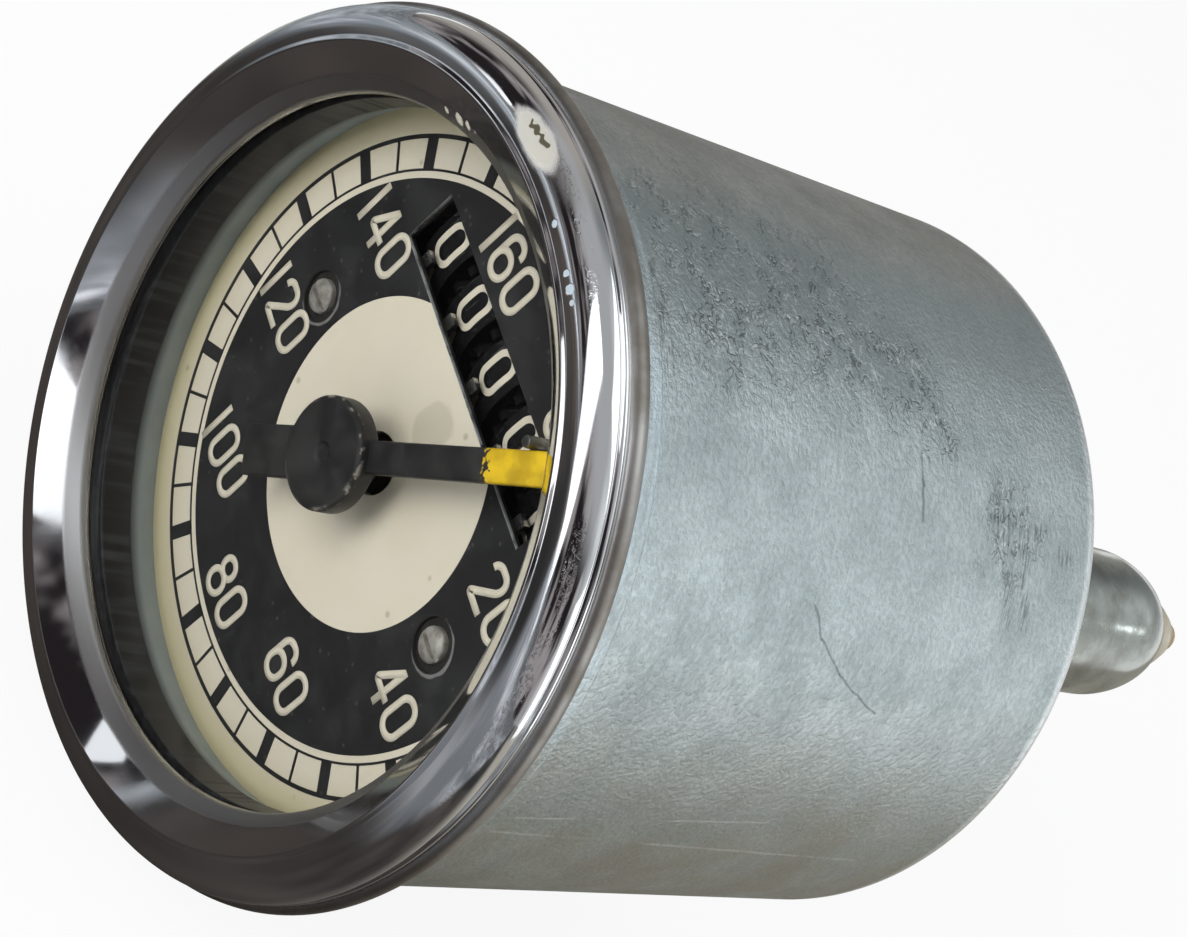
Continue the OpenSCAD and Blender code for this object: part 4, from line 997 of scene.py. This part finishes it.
class SPEEDOMETER_OT_needle(bpy.types.Operator):
    """Needle with its hub disc, arm, tail and boss"""

    bl_idname = "speedometer.needle"
    bl_label = "Needle"

    def execute(self, context):
        hub = bar([(0, 0.72), (0.8, 0.7, 0.15), (1.15, 0.42, 0.1), (5.25, 0.4, 0.2), (5.6, 0.7, 0.15),
                   (5.6, 2.8, 0.3), (2.4, 2.8, 0.3), (2.4, 6.0, 0.2), (0, 6.0)], steps=128)
        half, reach, point, tail_half, tail_end = 1.6, 30.5, 0.48, 2.6, -13.5
        front, rear, bevel = 1.5, 2.7, 0.28
        arm = plate([(-half, 0), (half, 0), (half, reach - 1.0), (point, reach), (-point, reach),
                     (-half, reach - 1.0)], front, rear, bevel)
        tail = plate([(-tail_half, tail_end), (tail_half, tail_end), (tail_half, 0), (-tail_half, 0)],
                     front, rear, bevel)
        for part in (arm, tail):
            turn(part, math.radians(ZERO_CLOCK), "Y")
        place_piece(new_object("pointer", join(hub, arm, tail)), "needle_black", "needle",
                    body="needle_movement")
        return {"FINISHED"}


class SPEEDOMETER_OT_counter(bpy.types.Operator):
    """Smooth rims and painted figures of the five number wheels"""

    bl_idname = "speedometer.counter"
    bl_label = "Counter"

    def execute(self, context):
        half, inner, outer = DRUM_WIDTH / 2, 9.0, DRUM_R + 0.01
        for number, body in WHEEL_BODIES.items():
            middle = (3 - number) * WHEEL_PITCH
            rim = lathe([(inner, -half), (outer, -half, 0.15), (outer, half, 0.15), (inner, half)],
                        steps=128)
            turn(rim, -math.pi / 2, "Z")
            shift(rim, middle, DRUM_DEPTH, DRUM_HEIGHT)
            place_piece(new_object(f"number_rim_{number}", rim), "wheel_black", body=body)
            figures = bmesh.new()
            for figure in range(10):
                self.figure(figures, figure, (COUNTER_SHOWS[number] - figure) * TURN / 10, middle)
            place_piece(new_object(f"number_figures_{number}", figures), "print_cream", body=body)
        return {"FINISHED"}

    @staticmethod
    def figure(figures, figure, angle, middle):
        """Wraps one painted figure round the wheel's rim."""
        flat = bmesh.new()
        digits(flat, str(figure), (0, 0), 0.0, stretch=0.98)
        bmesh.ops.subdivide_edges(flat, edges=flat.edges[:], cuts=3, use_grid_fill=True)
        sheet = new_object("figure", flat)
        strokes(sheet, FIGURE_STROKE * MM)
        for vert in sheet.data.vertices:
            x, y, z = vert.co
            out = DRUM_R * MM - y
            at = angle + z / (DRUM_R * MM)
            vert.co = (middle * MM + x, DRUM_DEPTH * MM - out * math.cos(at),
                       DRUM_HEIGHT * MM + out * math.sin(at))
        figures.from_mesh(sheet.data)
        bpy.data.objects.remove(sheet)


class SPEEDOMETER_OT_lamp(bpy.types.Operator):
    """Lamp holder on the case back with its insulator and contact"""

    bl_idname = "speedometer.lamp"
    bl_label = "Lamp holder"

    def execute(self, context):
        turned_piece("lamp_body", [
            (5.05, 67.8), (6.0, 67.8), (6.0, CASE_REAR), (8.2, CASE_REAR, 0.3), (8.2, 89.9, 3.6),
            (4.95, 95.8, 0.25), (4.55, 95.8), (4.55, 94.6), (5.05, 94.6)],
            "zinc_fitting", "lamp_shell", steps=128, at=LAMP_AT, round_steps=12)
        turned_piece("lamp_bush", [
            (2.02, 90.7), (4.5, 90.7), (4.5, 96.4, 0.15), (4.2, 97.0, 0.08), (4.25, 98.0, 0.15),
            (3.2, 100.4, 0.2), (2.02, 100.4)], "cream_insulator", "lamp_insulator", steps=96, at=LAMP_AT)
        turned_piece("lamp_pin", [
            (0, 89.7), (2.0, 89.7), (2.0, 100.5), (2.75, 100.5, 0.1), (2.75, 101.0, 0.15),
            (1.6, 103.9, 0.45), (0, 104.2)], "brass", "lamp_contact", closed=False, steps=64, at=LAMP_AT)
        return {"FINISHED"}


class SPEEDOMETER_OT_drive(bpy.types.Operator):
    """Threaded drive neck with its nut, the mounting studs with theirs, and the case screws"""

    bl_idname = "speedometer.drive"
    bl_label = "Neck, studs and screws"

    def execute(self, context):
        core = lathe([(4.0, 69.8), (14.0, 69.8), (14.0, 71.8), (9.6, 71.8), (9.6, 78.0, 0.15), (8.3, 78.4),
                      (8.3, 90.4, 0.2), (7.9, 91.0), (4.5, 91.0, 0.25), (4.5, 80.0), (4.0, 80.0)], steps=128)
        ridge = thread(8.98, 0.65, sizes().neck_pitch / MM, 78.3, 91.0)
        place_piece(new_object("cable_neck", join(core, ridge)), "zinc_fitting", "drive_neck")
        nuts("cable_neck_nut", 24.0, 78.0, [(0, 0)],
             [(0, 70.0), (9.62, 70.0), (9.62, 77.4), (10.2, 79.0), (0, 79.0)], 96, "neck_nut")
        studs = []
        for at in pair(STUD_X):
            studs.append(bar([
                (0, 70.8), (5.0, 70.8), (5.0, 71.8), (3.4, 71.8), (3.4, 76.0, 0.1), (2.55, 76.3),
                (2.55, 89.5, 0.2), (2.2, 90.0, 0.1), (0, 90.0)], at))
            studs.append(thread(2.98, 0.45, sizes().stud_pitch / MM, 76.2, 90.0, at, per_turn=32))
        place_piece(new_object("stud_pair", join(*studs)), "zinc_fitting", "mounting_studs")
        nuts("stud_nut_pair", 10.0, 76.0, pair(STUD_X),
             [(0, 70.0), (3.42, 70.0), (3.42, 75.6), (3.9, 77.0), (0, 77.0)], 64, "stud_nuts")
        slotted_screws("case_screw_set", [
            (0, 65.8), (1.5, 65.8), (1.5, CASE_REAR), (2.8, CASE_REAR), (2.8, 74.2, 0.3), (1.6, 74.5),
            (0, 74.5)], [on_circle(CASE_SCREW_R, clock) for clock in (0, 120, 240)],
            (8.4, 0.84), (73.82, 76.0), "steel", "case_screws")
        return {"FINISHED"}


class SPEEDOMETER_OT_movement(bpy.types.Operator):
    """Finishes of the movement's pieces behind the dial"""

    bl_idname = "speedometer.movement"
    bl_label = "Movement"

    LOOKS = {
        "black_rubber": ["lens_gasket"],
        "steel": ["arbor", "field_cup", "plate_posts", "plate_screws", "base_posts", "drive_spindle",
                  "cross_shaft", "cross_brackets", "layshaft", "number_shaft", "pinion_shaft",
                  "counter_brackets", "detent_comb", "bulb_cap"],
        "brass": ["arbor_bush", "hairspring", "hairspring_collet", "hairspring_stud", "upper_plate",
                  "lower_plate", "dial_posts", "spindle_bush", "neck_bush", "cross_wheel", "lay_wheel",
                  "units_gear", "carry_pinion_1", "carry_pinion_2", "carry_pinion_3", "carry_pinion_4"],
        "aluminium": ["drag_cup"],
        "magnet_iron": ["magnet"],
        "wheel_black": [f"number_wheel_{n}" for n in range(1, 6)],
        "clear_glass": ["bulb_glass"],
    }

    def execute(self, context):
        for look, nodes in self.LOOKS.items():
            for node in nodes:
                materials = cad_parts[node].data.materials
                for number in range(len(materials)):
                    materials[number] = finish(look)
        return {"FINISHED"}


class SPEEDOMETER_OT_stage(bpy.types.Operator):
    """Floor, lamps, surroundings and camera"""

    bl_idname = "speedometer.stage"
    bl_label = "Stage"

    # Places and sizes in millimetres
    CAMERA_AT = (115.775, -142.306, 134.876)
    CAMERA_RIGHT = (0.30511, 0.68885, 0.65757)
    CAMERA_UP = (-0.82770, -0.14967, 0.54084)
    LENS = 72.8
    SENSOR = 36
    AIM = (0, 30, 0)
    COOL = (0.93, 0.97, 1.0)
    NEUTRAL = (1.0, 0.99, 0.985)

    # Lamps: name, direction from the aim, distance, size, watts, colour, seen in metal and glass
    LAMPS = (
        ("window", (0.02, -0.9, 0.44), 600, (200, 700), 0.6, COOL, True),
        ("side_window", (-0.729, -0.681, 0.084), 600, (75, 75), 0.018, COOL, True),
        ("rear_window", (0.34, 0.85, 0.40), 700, (40, 40), 0.02, COOL, True),
        ("overhead", (0.25, 0.35, 0.9), 700, (500, 500), 0.75, COOL, True),
        ("right_rear", (0.85, 0.5, 0.2), 700, (600, 500), 0.95, COOL, True),
        ("fill", (-0.02, -0.9, 0.43), 700, (320, 650), 4.1, NEUTRAL, False),
    )

    def execute(self, context):
        scene = context.scene
        scene.view_settings.view_transform = "Standard"
        self.camera(scene)
        self.floor()
        self.surroundings(scene)
        self.dark_card()
        for settings in self.LAMPS:
            self.lamp(scene, *settings)
        return {"FINISHED"}

    def camera(self, scene):
        data = bpy.data.cameras.new("camera")
        data.lens = self.LENS
        data.sensor_width = self.SENSOR
        data.clip_start = 0.005
        data.clip_end = 20
        camera = bpy.data.objects.new("camera", data)
        right, up = Vector(self.CAMERA_RIGHT), Vector(self.CAMERA_UP)
        facing = Matrix((right, up, right.cross(up))).transposed().to_4x4()
        camera.matrix_world = Matrix.Translation(Vector(self.CAMERA_AT) * MM) @ facing
        scene.collection.objects.link(camera)
        scene.camera = camera

    @staticmethod
    def sheet(name, half, y, drop, material):
        """A square sheet under the bezel, in metres, which isn't part of the object."""
        bm = bmesh.new()
        bmesh.ops.create_grid(bm, x_segments=1, y_segments=1, size=half)
        bmesh.ops.translate(bm, vec=(0, y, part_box("bezel")[0].z - drop), verts=bm.verts[:])
        obj = new_object(name, bm)
        obj.data.materials.append(material)
        return obj

    def floor(self):
        """A pale floor that keeps the shadow and is seen as white."""
        made = bpy.data.materials.new("floor_white")
        made.use_nodes = True
        n = Nodes(made.node_tree)
        matte = n.put("BsdfDiffuse", {"Color": colours().floor})
        white = n.put("Emission", {"Strength": 1.0})
        path = n.put("LightPath").outputs
        seen = n.most(path["Is Camera Ray"], path["Is Glossy Ray"], path["Is Transmission Ray"])
        both = n.put("MixShader", {0: n.times(seen, 0.9), 1: matte.outputs[0], 2: white.outputs[0]})
        n.put("OutputMaterial", {"Surface": both.outputs[0]})
        self.sheet("floor", 4.0, 0, sizes().floor_drop, made)

    def dark_card(self):
        """A sheet on the floor, dark in front of the dial, seen only in the metal and the glass."""
        f = Finish("dark_card")
        f.constant("Roughness", 0.9)
        clouds = f.mottle(9, 3, 0.4, 0.65)
        x, y, _ = f.axes(f.place)
        f.tone = f.mix(clouds, (0.012, 0.011, 0.011), (0.075, 0.062, 0.055))
        right = f.times(f.ramp(x, -0.012, 0.02), f.ramp(y, -0.045, -0.075))
        f.tint(right, f.mix(clouds, (0.16, 0.17, 0.185), (0.50, 0.52, 0.55)))
        f.tint(f.ramp(y, 0.0, 0.05), (0.46, 0.43, 0.37))
        f.tint(f.ramp(x, -0.12, -0.22), f.mix(clouds, (0.30, 0.33, 0.36), (0.68, 0.72, 0.76)))
        f.feed("Base Color", f.tone)
        card = self.sheet("dark_card", 3.8, -3.4, sizes().floor_drop / 2, f.made)
        card.visible_camera = False
        card.visible_diffuse = False
        card.visible_shadow = False

    @staticmethod
    def surroundings(scene):
        """A dim, uneven room in front and a lighter one behind."""
        scene.world = bpy.data.worlds.new("room")
        scene.world.use_nodes = True
        n = Nodes(scene.world.node_tree)
        way = n.put("TexCoord").outputs["Generated"]
        x, y, z = n.axes(way)
        room = n.noise(way, 3.4, 3)
        front = n.mix(n.ramp(room, 0.44, 0.6), (0.018, 0.015, 0.017), (0.34, 0.315, 0.32))
        front = n.mix(n.ramp(z, 0.5, 0.75), front, (0.42, 0.43, 0.44))
        light = n.mix(n.ramp(room, 0.35, 0.65), (0.56, 0.59, 0.60), (0.80, 0.83, 0.84))
        shade = n.mix(n.ramp(x, -0.35, -0.65), (0.21, 0.225, 0.23), (0.40, 0.38, 0.35))
        back = n.mix(n.ramp(x, -0.4, 0.15), shade, light)
        tone = n.mix(n.ramp(y, -0.15, 0.3), front, back)
        glow = n.put("Background", {"Color": tone, "Strength": 1.0})
        n.put("OutputWorld", {"Surface": glow.outputs[0]})

    def lamp(self, scene, name, way, distance, size, power, tone, glossy):
        data = bpy.data.lights.new(name, "AREA")
        data.shape = "RECTANGLE"
        data.size, data.size_y = size[0] * MM, size[1] * MM
        data.energy = power
        data.color = tone
        obj = bpy.data.objects.new(name, data)
        obj.visible_glossy = glossy
        way = Vector(way).normalized()
        obj.location = Vector(self.AIM) * MM + way * distance * MM
        obj.rotation_euler = (-way).to_track_quat("-Z", "Y").to_euler()
        scene.collection.objects.link(obj)


class SPEEDOMETER_PT_panel(bpy.types.Panel):
    """Lists the pieces, the sizes and the colours"""

    bl_label = "Speedometer"
    bl_space_type = "VIEW_3D"
    bl_region_type = "UI"
    bl_category = "Speedometer"

    def draw(self, context):
        for operator in OPERATORS:
            self.layout.operator(operator.bl_idname)
        for group in (context.scene.speedometer_sizes, context.scene.speedometer_colours):
            for key in group.bl_rna.properties.keys():
                if key not in ("name", "rna_type"):
                    self.layout.prop(group, key)


OPERATORS = (
    SPEEDOMETER_OT_case, SPEEDOMETER_OT_bezel, SPEEDOMETER_OT_glass, SPEEDOMETER_OT_rings,
    SPEEDOMETER_OT_dial, SPEEDOMETER_OT_dial_fittings, SPEEDOMETER_OT_needle, SPEEDOMETER_OT_counter,
    SPEEDOMETER_OT_lamp, SPEEDOMETER_OT_drive, SPEEDOMETER_OT_movement, SPEEDOMETER_OT_stage)
CLASSES = (SpeedometerSizes, SpeedometerColours, *OPERATORS, SPEEDOMETER_PT_panel)


def register():
    for item in CLASSES:
        bpy.utils.register_class(item)
    bpy.types.Scene.speedometer_sizes = bpy.props.PointerProperty(type=SpeedometerSizes)
    bpy.types.Scene.speedometer_colours = bpy.props.PointerProperty(type=SpeedometerColours)


def unregister():
    del bpy.types.Scene.speedometer_colours
    del bpy.types.Scene.speedometer_sizes
    for item in reversed(CLASSES):
        bpy.utils.unregister_class(item)


def main():
    register()
    bpy.ops.speedometer.stage()
    bpy.ops.speedometer.case()
    bpy.ops.speedometer.bezel()
    bpy.ops.speedometer.glass()
    bpy.ops.speedometer.rings()
    bpy.ops.speedometer.dial()
    bpy.ops.speedometer.dial_fittings()
    bpy.ops.speedometer.needle()
    bpy.ops.speedometer.counter()
    bpy.ops.speedometer.lamp()
    bpy.ops.speedometer.drive()
    bpy.ops.speedometer.movement()


if __name__ == "__main__":
    main()
